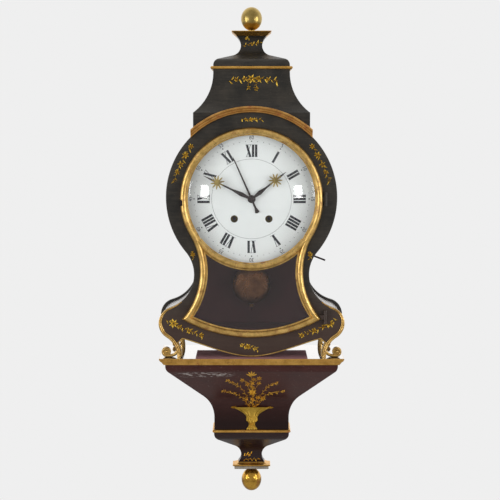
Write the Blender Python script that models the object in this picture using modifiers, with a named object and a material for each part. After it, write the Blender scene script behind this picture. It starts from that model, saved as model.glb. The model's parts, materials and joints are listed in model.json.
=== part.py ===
"""Neuchatel bracket clock: a violin-shaped striking clock with a lift-off cap, standing on its wall bracket.

Lengths are in metres. +Z is up and the front faces -Y. The wall is the plane Y = 0, so every distance
called "out" is counted forwards from the wall. Heights are counted from the top of the bracket's shelf.
"""

import math

import bmesh
import bpy
from mathutils import Matrix

# Fits
SEAT_GAP = 0.0003
RUN_GAP = 0.0004
WELD = 0.00001

# Place on the wall: the wall mount's point lies this far below the shelf's top
SHELF_TOP = 0.090

# Bracket: half a square in plan, so that its depth is everywhere its half width
SHELF_MARGIN = 0.0206
SHELF_THICKNESS = 0.012
CORNICE_WIDTH = 0.0135
CORNICE_HEIGHT = 0.013
BRACKET_PROUD = 0.0025
BRACKET_FALL = 0.1575
BRACKET_WAIST_HALF = 0.0737
BRACKET_EAR_RADIUS = 0.016
BRACKET_SWEEP_RADIUS = 0.062
BRACKET_SLOPE = math.radians(41.6)
BRACKET_EAR_DROP = 0.0035
BRACKET_WALL = 0.010
BRACKET_BACK_THICKNESS = 0.012
HOOK_HOLE_RADIUS = 0.007
HOOK_SLOT_RADIUS = 0.0035
HOOK_SLOT_LENGTH = 0.014
HOOK_DROP = 0.052
ASTRAGAL_PROUD = 0.0037
ASTRAGAL_HEIGHT = 0.0062
PENDANT_PROUD = 0.0006
PENDANT_NECK_HALF = 0.0208
PENDANT_EAR_RADIUS = 0.016
PENDANT_SWEEP_RADIUS = 0.024
PENDANT_SLOPE = math.radians(30)
PENDANT_EAR_DROP = 0.002
PENDANT_FLARE_RADIUS = 0.019
PENDANT_FLARE_HEIGHT = 0.0135
FOOT_PLATE_HALF = 0.0377
FOOT_PLATE_HEIGHT = 0.0062
DROP_RADIUS = 0.0199
DROP_HALF_HEIGHT = 0.0232
PEG_RADIUS = 0.006
PEG_LENGTH = 0.0065

# Case
CASE_BACK_OUT = 0.008
CASE_DEPTH = 0.150
FRONT_THICKNESS = 0.016
BACK_THICKNESS = 0.012
WALL_THICKNESS = 0.008
WALL_INSET = 0.003
RING_MARGIN = 0.027
RING_RISE = 0.003
WAIST_HALF = 0.110
WAIST_DROP = 0.144
WAIST_SHARE = 0.68
SHOULDER_HALF = 0.1777
SHOULDER_HEIGHT = 0.066
SHOULDER_SHARE = 0.42
BACK_FLARE = 0.004
LEG_DRAW = 0.0353
LEG_UPRIGHT = 0.002
LEG_WIDTH = 0.009
LEG_ARCH_ANGLE = 150
SKIRT_MARGIN = 0.0101
SKIRT_SPRING = 0.036
SKIRT_CLEAR = 0.002
CAP_SPLIT = 45
RING_STEP = 8
BOTTOM_THICKNESS = 0.008
SCROLL_CENTRE_OUTSIDE = 0.0214
SCROLL_RADIUS = 0.0104
SCROLL_EYE_RADIUS = 0.0022
SCROLL_BAND = 0.005
SCROLL_BAND_END = 0.0016
SCROLL_TURN = 450
SCROLL_DEPTH = 0.014

# Door
DIAL_HEIGHT = 0.304
DOOR_WAIST_MARGIN = 0.0115
DOOR_WAIST_DROP = 0.138
DOOR_CORNER_MARGIN = 0.0443
DOOR_CORNER_RISE = 0.0088
DOOR_CORNER_DROP = 0.036
LUNETTE_REACH = 52
RAIL_WIDTH = 0.0148
RAIL_PROUD = 0.0122
RAIL_LIP = 0.0040
REBATE_WIDTH = 0.0032
REBATE_DEPTH = 0.0026
GLASS_THICKNESS = 0.002
GLASS_DOME = 0.028
WINDOW_INSET = 0.008
RING_SIDES = 12
DOOR_HALF_TURN = 70
HINGE_BARREL_RADIUS = 0.0032
HINGE_PIN_RADIUS = 0.0016
HINGE_KNUCKLE = 0.009
HINGE_LEAF_WIDTH = 0.010
HINGE_LEAF_THICKNESS = 0.0012
LOWER_HINGE_RISE = 0.0037
CATCH_DROP = 0.007
CATCH_LENGTH = 0.011
CATCH_WIDTH = 0.0045
CATCH_DEPTH = 0.007

# Cap
CAP_HALF = 0.1108
CAP_CLEAR = 0.0004
CAP_CROWN_LAP = 0.002
CAP_WALL = 0.008
CAP_NECKING_HALF = 0.0733
CAP_NECKING_RISE = 0.077
CAP_SHOULDER_RISE = 0.014
CAP_SHOULDER_RADIUS = 0.013
CAP_SHOULDER_SLOPE = math.radians(14.7)
CAP_NECK_HALF = 0.0208
CAP_NECK_RADIUS = 0.020
CAP_MOUTH_HALF = 0.029
CAP_MOUTH_RISE = 0.0575
CAP_ASTRAGAL_PROUD = 0.005
CAP_ASTRAGAL_HEIGHT = 0.0057
CAP_ASTRAGAL_RISE = 0.006
CAP_PLATE_HALF = 0.0386
CAP_PLATE_HEIGHT = 0.0093
ARCH_WIDTH = 0.012
ARCH_PROUD = 0.0087
ARCH_LAP = 0.0015
ARCH_RETURN_PROUD = 0.0045
BALL_RADIUS = 0.0207
BALL_HALF_HEIGHT = 0.0223
BALL_PEG_LENGTH = 0.003

# Dial and hands
DIAL_RADIUS = 0.1265
DIAL_THICKNESS = 0.0025
DIAL_DOME = 0.0065
DIAL_SETBACK = 0.012
DIAL_CLEAR = 0.0015
DIAL_FOOT_RADIUS = 0.0022
DIAL_FOOT_CIRCLE = 0.0775
WINDING_HALF = 0.033
WINDING_DROP = 0.038
WINDING_HOLE_RADIUS = 0.007
WINDING_ARBOR_RADIUS = 0.0032
HAND_THICKNESS = 0.001
HAND_STEP = 0.0025
HAND_CLEAR = 0.0018
MINUTE_LENGTH = 0.101
MINUTE_STAR = 0.072
MINUTE_ANGLE = 296
HOUR_LENGTH = 0.083
HOUR_STAR = 0.0575
HOUR_ANGLE = 51.8
BLADE_ROOT_HALF = 0.002
BLADE_SWELL_HALF = 0.0042
BLADE_NECK_HALF = 0.0012
BLADE_SLIM_HALF = 0.0009
BLADE_FIN_HALF = 0.0018
BLADE_END_HALF = 0.0008
STAR_RADIUS = 0.013
STAR_INNER_RADIUS = 0.0062
STAR_THICKNESS = 0.0018
STAR_RAYS = 10
ALARM_LENGTH = 0.088
ALARM_TAIL = 0.029
ALARM_ANGLE = 336
ALARM_HALF = 0.0012
ALARM_END_HALF = 0.0006
ALARM_TAIL_HALF = 0.0045
BOSS_RADIUS = 0.007
NUT_RADIUS = 0.0045
NUT_HEIGHT = 0.0035

# Movement
PLATE_HALF = 0.082
PLATE_RISE = 0.082
PLATE_FALL = 0.086
PLATE_THICKNESS = 0.003
PLATE_SPACE = 0.052
FRONT_PLATE_SETBACK = 0.026
PILLAR_RADIUS = 0.0045
PILLAR_PIVOT_RADIUS = 0.0026
PILLAR_EDGE = 0.008
ARBOR_RADIUS = 0.0015
CENTRE_ARBOR_RADIUS = 0.002
CANNON_RADIUS = 0.003
PIPE_WALL = 0.0012
WHEEL_THICKNESS = 0.002
PINION_LENGTH = 0.005
HUB_RADIUS = 0.006
ARM_HALF = 0.0022
FRONT_WHEEL_CLEAR = 0.0012
STRIKE_WHEEL_STEP = 0.0095
CENTRE_WHEEL_STEP = 0.003
THIRD_WHEEL_STEP = 0.018
ESCAPE_WHEEL_STEP = 0.008
MOTION_CLEAR = 0.002
TOOTH_TIP = 0.7
TOOTH_ROOT = 1.25
GREAT_TEETH = 42
CENTRE_PINION_TEETH = 7
CENTRE_TEETH = 60
THIRD_PINION_TEETH = 6
THIRD_TEETH = 54
ESCAPE_PINION_TEETH = 6
ESCAPE_TEETH = 40
CENTRE_MODULE = 0.0009
THIRD_MODULE = 0.00085
THIRD_BEARING = 40
ESCAPE_RADIUS = 0.014
CANNON_TEETH = 12
MINUTE_WHEEL_TEETH = 36
MINUTE_PINION_TEETH = 10
HOUR_TEETH = 40
MOTION_MODULE = 0.0008
BARREL_RADIUS = 0.028
BARREL_LENGTH = 0.028
PALLET_RISE = 0.070
PALLET_CLEAR = 0.0018
ANCHOR_HALF_ANGLE = 50
ANCHOR_BAND = 0.0035
PALLET_DEPTH = 0.002
PALLET_ANGLE = 6
ANCHOR_STEM_HALF = 0.003
CRUTCH_RISE = 0.002
FORK_HEIGHT = 0.004
CRUTCH_LENGTH = 0.060
PENDULUM_SETBACK = 0.014
PENDULUM_LENGTH = 0.244
PENDULUM_ROD_RADIUS = 0.0015
BOB_RADIUS = 0.0375
BOB_THICKNESS = 0.014
RATING_NUT_RADIUS = 0.005
RATING_NUT_HEIGHT = 0.006
SUSPENSION_RISE = 0.008
SUSPENSION_THICKNESS = 0.0004
SUSPENSION_DEPTH = 0.008
COCK_HALF = 0.014
COCK_HEIGHT = 0.011
COCK_RISE = 0.003
COCK_SLOT_HALF = 0.0008
SEAT_THICKNESS = 0.010
BELL_RADIUS = 0.036
BELL_HEIGHT = 0.026
BELL_WALL = 0.003
BELL_MOUTH_RISE = 0.010
BELL_ROD_RADIUS = 0.002
BELL_ROD_RISE = 0.012
BELL_ROD_SIDE = 0.016
BELL_ROD_FOOT = 0.030
BELL_ROD_BEND = 0.010
BELL_ROD_TIP = 0.004
HAMMER_HALF = 0.062
HAMMER_RISE = 0.050
HAMMER_STRIKE_RISE = 0.004
HAMMER_HEAD_RADIUS = 0.005
HAMMER_ARM = 0.003
LEVER_RADIUS = 0.0017
LEVER_PIVOT_HALF = 0.050
LEVER_PIVOT_DROP = 0.072
LEVER_HUB_RADIUS = 0.005
LEVER_SLOT_RISE = 0.006
LEVER_SLOT_FALL = 0.014
LEVER_TIP_REACH = 0.0315
LEVER_TIP_DROP = 0.009
LEVER_WALL_RISE = 0.0345
LEVER_INNER_REACH = 0.022

# Sizes and places that follow from the sizes above
LEG_HALF = SHOULDER_HALF - LEG_DRAW
SKIRT_HALF = LEG_HALF - SKIRT_MARGIN
SHELF_HALF = LEG_HALF + SHELF_MARGIN
BRACKET_HALF = SHELF_HALF + BRACKET_PROUD
ASTRAGAL_HALF = BRACKET_WAIST_HALF + ASTRAGAL_PROUD
PENDANT_HALF = BRACKET_WAIST_HALF + PENDANT_PROUD
DOOR_RADIUS = DIAL_RADIUS + DIAL_CLEAR + WINDOW_INSET
DOOR_WAIST_HALF = WAIST_HALF - DOOR_WAIST_MARGIN
DOOR_WAIST_HEIGHT = DIAL_HEIGHT - DOOR_WAIST_DROP
DOOR_CORNER_HALF = SHOULDER_HALF - DOOR_CORNER_MARGIN
DOOR_CORNER_HEIGHT = SHOULDER_HEIGHT + DOOR_CORNER_RISE
DOOR_BOTTOM_HEIGHT = DOOR_CORNER_HEIGHT - DOOR_CORNER_DROP
LOWER_HINGE_HEIGHT = DOOR_CORNER_HEIGHT + LOWER_HINGE_RISE
CATCH_HEIGHT = DIAL_HEIGHT - CATCH_DROP
RING_RADIUS = DOOR_RADIUS + RING_MARGIN
RING_HEIGHT = DIAL_HEIGHT + RING_RISE
WAIST_HEIGHT = DIAL_HEIGHT - WAIST_DROP
CAP_UPRIGHT_TOP = RING_HEIGHT + RING_RADIUS - CAP_CROWN_LAP
CAP_NECKING_HEIGHT = CAP_UPRIGHT_TOP + CAP_NECKING_RISE
CAP_SHOULDER_HEIGHT = CAP_NECKING_HEIGHT + CAP_SHOULDER_RISE
CAP_MOUTH_HEIGHT = CAP_SHOULDER_HEIGHT + CAP_MOUTH_RISE
CAP_ASTRAGAL_BASE = CAP_NECKING_HEIGHT + CAP_ASTRAGAL_RISE
CASE_FRONT_OUT = CASE_BACK_OUT + CASE_DEPTH
WALL_FRONT_OUT = CASE_FRONT_OUT - FRONT_THICKNESS - SEAT_GAP
WALL_BACK_OUT = CASE_BACK_OUT + BACK_THICKNESS + SEAT_GAP
DOOR_BACK_OUT = CASE_FRONT_OUT + SEAT_GAP
DIAL_RIM_OUT = CASE_FRONT_OUT - DIAL_SETBACK
DIAL_CENTRE_OUT = DIAL_RIM_OUT + DIAL_DOME
FRONT_PLATE_OUT = CASE_FRONT_OUT - FRONT_PLATE_SETBACK
PLATES_FRONT_OUT = FRONT_PLATE_OUT - PLATE_THICKNESS
PLATES_BACK_OUT = PLATES_FRONT_OUT - PLATE_SPACE
BACK_PLATE_OUT = PLATES_BACK_OUT - PLATE_THICKNESS
PENDULUM_OUT = BACK_PLATE_OUT - PENDULUM_SETBACK
PALLET_HEIGHT = DIAL_HEIGHT + PALLET_RISE
BOB_HEIGHT = PALLET_HEIGHT - PENDULUM_LENGTH
LEVER_WALL_HEIGHT = WAIST_HEIGHT + LEVER_WALL_RISE
LEVER_TIP_HEIGHT = LEVER_WALL_HEIGHT - LEVER_TIP_DROP
LEVER_TIP_HALF = WAIST_HALF + LEVER_TIP_REACH


def clear_scene():
    """Remove the objects that a new scene starts with."""
    for old in list(bpy.data.objects):
        bpy.data.objects.remove(old, do_unlink=True)


clear_scene()
parts = bpy.data.collections.new("neuchatel_bracket_clock")
cutters = bpy.data.collections.new("cutters")
bpy.context.scene.collection.children.link(parts)
bpy.context.scene.collection.children.link(cutters)
cutters.hide_render = True
clock = bpy.data.objects.new("clock", None)
clock.location.z = SHELF_TOP
parts.objects.link(clock)


def finish(name, colour, roughness, metallic=0.0, transmission=0.0):
    """A Principled material for one kind of surface."""
    material = bpy.data.materials.new(name)
    material.use_nodes = True
    shader = material.node_tree.nodes["Principled BSDF"]
    shader.inputs["Base Color"].default_value = (*colour, 1.0)
    shader.inputs["Roughness"].default_value = roughness
    shader.inputs["Metallic"].default_value = metallic
    shader.inputs["Transmission Weight"].default_value = transmission
    return material


BLACK_LACQUER = finish("black_lacquer", (0.030, 0.027, 0.024), 0.3)
BROWN_LACQUER = finish("brown_lacquer", (0.045, 0.018, 0.018), 0.3)
GILT_WOOD = finish("gilt_wood", (0.48, 0.27, 0.06), 0.42, 1.0)
GILT_BRASS = finish("gilt_brass", (0.55, 0.33, 0.08), 0.33, 1.0)
ENAMEL = finish("white_enamel", (0.82, 0.83, 0.83), 0.15)
GLASS = finish("clear_glass", (0.95, 0.97, 0.97), 0.02, 0.0, 1.0)
BRASS = finish("brass", (0.60, 0.40, 0.12), 0.35, 1.0)
STEEL = finish("dark_steel", (0.04, 0.045, 0.06), 0.35, 1.0)
BELL_METAL = finish("bell_metal", (0.55, 0.42, 0.20), 0.3, 1.0)
BARE_WOOD = finish("bare_wood", (0.20, 0.12, 0.06), 0.7)


def place(name, mesh, surface, at):
    """Put a mesh into the clock's collection with its origin at the given point."""
    piece = bpy.data.objects.new(name, mesh)
    piece.data.materials.append(surface)
    piece.location = at
    piece.parent = clock
    parts.objects.link(piece)
    return piece


def combine(piece, tool, operation):
    """Join a tool to a piece, or cut it out, and put the tool away with the cutters."""
    step = piece.modifiers.new(operation.lower(), "BOOLEAN")
    step.operation = operation
    step.object = tool
    parts.objects.unlink(tool)
    cutters.objects.link(tool)
    tool.hide_render = True
    tool.display_type = "WIRE"
    return piece


def join(piece, *tools):
    """Union every tool with the piece."""
    for tool in tools:
        combine(piece, tool, "UNION")
    return piece


def cut(piece, *tools):
    """Take every tool out of the piece."""
    for tool in tools:
        combine(piece, tool, "DIFFERENCE")
    return piece


def arc(centre, radius, start, end, steps):
    """Points of a circle in the front view, with angles in degrees anticlockwise from +X."""
    turns = [math.radians(start + (end - start) * i / steps) for i in range(steps + 1)]
    return [(centre[0] + radius * math.cos(t), centre[1] + radius * math.sin(t)) for t in turns]


def circle(radius, centre=(0.0, 0.0), sides=8):
    """A closed round loop."""
    return arc(centre, radius, 0, 360, sides)[:-1]


def bearing(start, end):
    """Angle in degrees of the line from one point to another."""
    return math.degrees(math.atan2(end[1] - start[1], end[0] - start[0]))


def mirrored(points):
    """The left-hand copy of a right-hand run of points, in reverse order."""
    return [(-x, z) for x, z in reversed(points)]


def turned_loop(points, clockwise):
    """Turn a loop about the origin by an angle in degrees, clockwise as seen from the front."""
    sine = math.sin(math.radians(clockwise))
    cosine = math.cos(math.radians(clockwise))
    return [(x * cosine + z * sine, z * cosine - x * sine) for x, z in points]


def flat(name, loops, low_out, high_out, surface, at=(0.0, 0.0)):
    """Fill closed loops of (x, z) points, with holes, and thicken them between two distances out."""
    curve = bpy.data.curves.new(name, "CURVE")
    curve.dimensions = "2D"
    curve.fill_mode = "BOTH"
    curve.extrude = (high_out - low_out) / 2
    for loop in loops:
        spline = curve.splines.new("POLY")
        spline.points.add(len(loop) - 1)
        for point, (x, z) in zip(spline.points, loop):
            point.co = (x, z, 0, 1)
        spline.use_cyclic_u = True
    sheet = bpy.data.objects.new(name, curve)
    cutters.objects.link(sheet)
    graph = bpy.context.evaluated_depsgraph_get()
    mesh = bpy.data.meshes.new_from_object(sheet.evaluated_get(graph))
    bpy.data.objects.remove(sheet)
    bpy.data.curves.remove(curve)
    solid = bmesh.new()
    solid.from_mesh(mesh)
    bmesh.ops.remove_doubles(solid, verts=solid.verts, dist=WELD)
    bmesh.ops.rotate(solid, verts=solid.verts, matrix=Matrix.Rotation(math.pi / 2, 3, "X"))
    bmesh.ops.translate(solid, verts=solid.verts, vec=(0, -(low_out + high_out) / 2, 0))
    solid.to_mesh(mesh)
    solid.free()
    return place(name, mesh, surface, (at[0], 0, at[1]))


def turned(name, profile, surface, at, ring=False, upright=False, steps=32):
    """Turn a profile of (radius, along) points, listed from its top down its outer side.

    The axis is upright, or runs forwards with along counted out from the wall. A ring's profile is closed.
    """
    count = len(profile)
    edges = [(i, i + 1) for i in range(count - 1)]
    if ring:
        edges.append((count - 1, 0))
    mesh = bpy.data.meshes.new(name)
    mesh.from_pydata([(radius, 0, along) for radius, along in profile], edges, [])
    piece = place(name, mesh, surface, at)
    if not upright:
        piece.rotation_euler.x = math.pi / 2
    screw = piece.modifiers.new("turn", "SCREW")
    screw.steps = steps
    screw.render_steps = steps
    screw.use_merge_vertices = True
    screw.merge_threshold = WELD
    screw.use_smooth_shade = True
    return piece


def rod(name, radius, low_out, high_out, surface, at, sides=10):
    """A plain round arbor along the front-to-back axis."""
    profile = [(0, high_out), (radius, high_out), (radius, low_out), (0, low_out)]
    return turned(name, profile, surface, (at[0], 0, at[1]), steps=sides)


def collar(name, radius, bore, low_out, high_out, surface, at, sides=12):
    """A round tube or ring along the front-to-back axis."""
    profile = [(bore, high_out), (radius, high_out), (radius, low_out), (bore, low_out)]
    return turned(name, profile, surface, (at[0], 0, at[1]), ring=True, steps=sides)


def box(name, low, high, surface):
    """A block between two corners, given as (x, out, height)."""
    solid = bmesh.new()
    bmesh.ops.create_cube(solid, size=1.0)
    size = (high[0] - low[0], high[1] - low[1], high[2] - low[2])
    bmesh.ops.scale(solid, verts=solid.verts, vec=size)
    mesh = bpy.data.meshes.new(name)
    solid.to_mesh(mesh)
    solid.free()
    middle = ((low[0] + high[0]) / 2, -(low[1] + high[1]) / 2, (low[2] + high[2]) / 2)
    return place(name, mesh, surface, middle)


def skin(name, sections, surface, closed=False, at=(0.0, 0.0, 0.0)):
    """Loft a solid through sections of equal point count, as a closed ring or with flat ends."""
    solid = bmesh.new()
    rows = [[solid.verts.new(point) for point in section] for section in sections]
    pairs = list(zip(rows, rows[1:]))
    if closed:
        pairs.append((rows[-1], rows[0]))
    else:
        solid.faces.new(rows[0])
        solid.faces.new(rows[-1])
    for near, far in pairs:
        for i in range(len(near)):
            j = (i + 1) % len(near)
            solid.faces.new((near[i], near[j], far[j], far[i]))
    bmesh.ops.recalc_face_normals(solid, faces=solid.faces)
    mesh = bpy.data.meshes.new(name)
    solid.to_mesh(mesh)
    solid.free()
    return place(name, mesh, surface, at)


def mitred(path, profile, closed):
    """Carry a profile of (u, v) points along a flat path, mitred, with u to the right of travel."""
    count = len(path)
    sections = []
    for i in range(count):
        normals = []
        for j in (i - 1, i):
            if not closed and not 0 <= j < count - 1:
                continue
            (ax, az), (bx, bz) = path[j % count], path[(j + 1) % count]
            length = math.hypot(bx - ax, bz - az)
            normals.append(((bz - az) / length, (ax - bx) / length))
        first, last = normals[0], normals[-1]
        share = 1 + first[0] * last[0] + first[1] * last[1]
        across = ((first[0] + last[0]) / share, (first[1] + last[1]) / share)
        x, z = path[i]
        sections.append([(x + across[0] * u, z + across[1] * u, v) for u, v in profile])
    return sections


def plan_moulding(name, half, back_out, profile, base, surface, front_out=None):
    """Carry a moulding of (outward, up) points round the two sides and the front of a block, mitred."""
    front = half if front_out is None else front_out
    path = [(-half, -back_out), (-half, -front), (half, -front), (half, -back_out)]
    sections = mitred(path, profile, False)
    return skin(name, [[(x, y, base + v) for x, y, v in section] for section in sections], surface)


def tube(name, points, radius, surface, at=(0.0, 0.0, 0.0)):
    """A round bar through (x, out, height) points, with filled ends."""
    curve = bpy.data.curves.new(name, "CURVE")
    curve.dimensions = "3D"
    curve.bevel_depth = radius
    curve.bevel_resolution = 2
    curve.use_fill_caps = True
    spline = curve.splines.new("POLY")
    spline.points.add(len(points) - 1)
    for point, (x, out, height) in zip(spline.points, points):
        point.co = (x, -out, height, 1)
    wire = bpy.data.objects.new(name, curve)
    cutters.objects.link(wire)
    graph = bpy.context.evaluated_depsgraph_get()
    mesh = bpy.data.meshes.new_from_object(wire.evaluated_get(graph))
    bpy.data.objects.remove(wire)
    bpy.data.curves.remove(curve)
    solid = bmesh.new()
    solid.from_mesh(mesh)
    bmesh.ops.remove_doubles(solid, verts=solid.verts, dist=WELD)
    solid.to_mesh(mesh)
    solid.free()
    return place(name, mesh, surface, at)


def ogee(half, end_half, slope, ear, sweep, steps=5):
    """(half width, drop) points of an ogee: a convex ear, a straight slope and a concave sweep."""
    turn = math.pi / 2 - slope
    ear_end = (half - ear * (1 - math.cos(turn)), ear * math.sin(turn))
    sweep_start = end_half + sweep * (1 - math.cos(turn))
    end_drop = ear_end[1] + (ear_end[0] - sweep_start) * math.tan(slope) + sweep * math.sin(turn)
    angles = [turn * i / steps for i in range(steps + 1)]
    convex = [(half - ear * (1 - math.cos(t)), ear * math.sin(t)) for t in angles]
    concave = [(end_half + sweep * (1 - math.cos(t)), end_drop - sweep * math.sin(t)) for t in angles]
    return convex + concave[::-1]


def bracket_profile():
    """(half width, height) of the bracket's main ogee, from under the shelf to its foot."""
    top = -CORNICE_HEIGHT - SEAT_GAP
    fall = ogee(BRACKET_HALF, BRACKET_WAIST_HALF, BRACKET_SLOPE, BRACKET_EAR_RADIUS, BRACKET_SWEEP_RADIUS)
    points = [(BRACKET_HALF, top)]
    points += [(half, top - BRACKET_EAR_DROP - drop) for half, drop in fall]
    points.append((BRACKET_WAIST_HALF, -BRACKET_FALL))
    return points


def build_bracket():
    """The wall bracket: shelf, gilt cornice, three bowed panels, back board and turned-in pendant."""
    box("bracket_shelf", (-SHELF_HALF, 0, -SHELF_THICKNESS), (SHELF_HALF, SHELF_HALF, 0), BROWN_LACQUER)
    w, h = CORNICE_WIDTH, CORNICE_HEIGHT
    cornice = [(0, 0), (w, 0), (w, -0.18 * h), (0.83 * w, -0.30 * h), (0.64 * w, -0.55 * h)]
    cornice += [(0.54 * w, -0.80 * h), (0.42 * w, -0.86 * h), (0.42 * w, -h), (0, -h)]
    plan_moulding("bracket_cornice", SHELF_HALF + SEAT_GAP, 0, cornice, 0, GILT_WOOD)

    wall, gap, back = BRACKET_WALL, SEAT_GAP, BRACKET_BACK_THICKNESS + SEAT_GAP
    levels = bracket_profile()
    front = []
    for half, z in levels:
        inner = half - wall
        outside = [(-half + gap, -half, z), (half - gap, -half, z)]
        front.append(outside + [(inner - gap, -inner, z), (-inner + gap, -inner, z)])
    skin("bracket_front", front, BROWN_LACQUER)
    for name, side in (("bracket_side_left", -1), ("bracket_side_right", 1)):
        rows = []
        for half, z in levels:
            inner = half - wall
            corners = [(half, -half + gap), (inner, -inner + gap), (inner, -back), (half, -back)]
            rows.append([(side * x, y, z) for x, y in corners])
        skin(name, rows, BROWN_LACQUER)

    hook_round = arc((0, -HOOK_DROP), HOOK_HOLE_RADIUS, 120, 420, 12)
    hook_slot = arc((0, -HOOK_DROP + HOOK_SLOT_LENGTH), HOOK_SLOT_RADIUS, 0, 180, 6)
    loops = [levels + mirrored(levels), hook_round + hook_slot]
    flat("bracket_back", loops, 0, BRACKET_BACK_THICKNESS, BROWN_LACQUER)

    def block(name, sections, surface):
        """A solid block, flat against the wall, through (half width, height) sections."""
        rows = [[(-half, -half, z), (half, -half, z), (half, 0, z), (-half, 0, z)] for half, z in sections]
        return skin(name, rows, surface)

    top = -BRACKET_FALL - SEAT_GAP
    bottom = top - ASTRAGAL_HEIGHT
    round_edge = [(ASTRAGAL_HALF - ASTRAGAL_HEIGHT / 2 + x, top - ASTRAGAL_HEIGHT / 2 + z)
                  for x, z in arc((0, 0), ASTRAGAL_HEIGHT / 2, 90, -90, 6)]
    block("bracket_astragal", round_edge, GILT_WOOD)

    top = bottom - SEAT_GAP
    fall = ogee(PENDANT_HALF, PENDANT_NECK_HALF, PENDANT_SLOPE, PENDANT_EAR_RADIUS, PENDANT_SWEEP_RADIUS)
    sections = [(PENDANT_HALF, top)]
    sections += [(half, top - PENDANT_EAR_DROP - drop) for half, drop in fall]
    neck = sections[-1][1]
    for i in range(1, 5):
        drop = PENDANT_FLARE_HEIGHT * i / 4
        flare = PENDANT_FLARE_RADIUS - math.sqrt(PENDANT_FLARE_RADIUS**2 - drop**2)
        sections.append((PENDANT_NECK_HALF + flare, neck - drop))
    block("bracket_pendant", sections, BROWN_LACQUER)

    top = sections[-1][1] - SEAT_GAP
    narrow = sections[-1][0]
    bottom = top - FOOT_PLATE_HEIGHT
    middle = (narrow + FOOT_PLATE_HALF) / 2
    lip = bottom + 0.35 * FOOT_PLATE_HEIGHT
    steps = [(narrow, top), (middle, lip), (FOOT_PLATE_HALF, lip), (FOOT_PLATE_HALF, bottom)]
    block("bracket_foot_plate", steps, GILT_WOOD)

    top = bottom - SEAT_GAP
    centre = top - PEG_LENGTH - DROP_HALF_HEIGHT
    ball("bracket_ball", DROP_RADIUS, DROP_HALF_HEIGHT, (0, -DROP_RADIUS - SEAT_GAP, centre), -PEG_LENGTH)


def ball(name, radius, half_height, at, peg):
    """An ovoid gilt ball with a peg, above it where peg is negative and below it where peg is positive."""
    start = math.degrees(math.asin(PEG_RADIUS / radius))
    ends = (180 - start, 0) if peg > 0 else (180, start)
    turns = [math.radians(ends[1] + (ends[0] - ends[1]) * i / 8) for i in range(9)]
    profile = [(radius * math.sin(t), half_height * math.cos(t)) for t in turns]
    if peg > 0:
        profile += [(PEG_RADIUS, -half_height - peg), (0, -half_height - peg)]
    else:
        profile = [(0, half_height - peg), (PEG_RADIUS, half_height - peg)] + profile
    turned(name, profile, GILT_WOOD, at, upright=True, steps=18)


def swan_neck(near, far, share):
    """Two tangent arcs between upright ends: both radii, and the angle in degrees that each turns by."""
    across = abs(far[0] - near[0])
    fall = near[1] - far[1]
    both = (across**2 + fall**2) / (2 * across)
    return share * both, (1 - share) * both, math.degrees(math.asin(fall / both))


def case_side(start, grow=0.0, flare=0.0):
    """Right-hand points of the violin outline, from an angle on its ring down to the end of its shoulder.

    The ring, the waist and the shoulder are tangent arcs, all moved outwards by the same distance.
    """
    shoulder_half = SHOULDER_HALF + flare
    rise = RING_HEIGHT - WAIST_HEIGHT
    hollow = (WAIST_HALF**2 + rise**2 - RING_RADIUS**2) / (2 * (RING_RADIUS - WAIST_HALF))
    ring, waist = (0.0, RING_HEIGHT), (WAIST_HALF + hollow, WAIST_HEIGHT)
    ring_end = bearing(ring, waist)
    steps = max(4, round((start - ring_end) / RING_STEP))
    points = arc(ring, RING_RADIUS + grow, start, ring_end, steps)
    points += arc(waist, hollow - grow, ring_end + 180, 180, 5)[1:]
    lower, upper, turn = swan_neck((WAIST_HALF, WAIST_HEIGHT), (shoulder_half, SHOULDER_HEIGHT), WAIST_SHARE)
    points += arc((WAIST_HALF + lower, WAIST_HEIGHT), lower - grow, 180, 180 + turn, 5)[1:]
    points += arc((shoulder_half - upper, SHOULDER_HEIGHT), upper + grow, turn, 0, 5)[1:]
    under, _, turn = leg_arcs(flare)
    points += arc((shoulder_half - under, SHOULDER_HEIGHT), under + grow, 0, -turn, 4)[1:]
    return points


def leg_arcs(flare):
    """Radii of the shoulder's underside and of the leg below it, and their angle in degrees."""
    return swan_neck((SHOULDER_HALF + flare, SHOULDER_HEIGHT), (LEG_HALF, LEG_UPRIGHT), SHOULDER_SHARE)


def leg(flare):
    """Right-hand points from the shoulder's end down the leg's outside and up its inside."""
    _, radius, turn = leg_arcs(flare)
    centre = (LEG_HALF + radius, LEG_UPRIGHT)
    points = arc(centre, radius, 180 - turn, 180, 5)[1:]
    points += [(LEG_HALF, SEAT_GAP), (LEG_HALF - LEG_WIDTH, SEAT_GAP)]
    return points + arc(centre, radius + LEG_WIDTH, 180, LEG_ARCH_ANGLE, 4)


def skirt():
    """Right-hand points along the front board's curved lower edge, from its spring to the middle."""
    drop = SKIRT_SPRING - SKIRT_CLEAR
    radius = (SKIRT_HALF**2 + drop**2) / (2 * drop)
    half_turn = math.degrees(math.asin(SKIRT_HALF / radius))
    return arc((0, SKIRT_CLEAR + radius), radius, -90 + half_turn, -90, 9)


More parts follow.
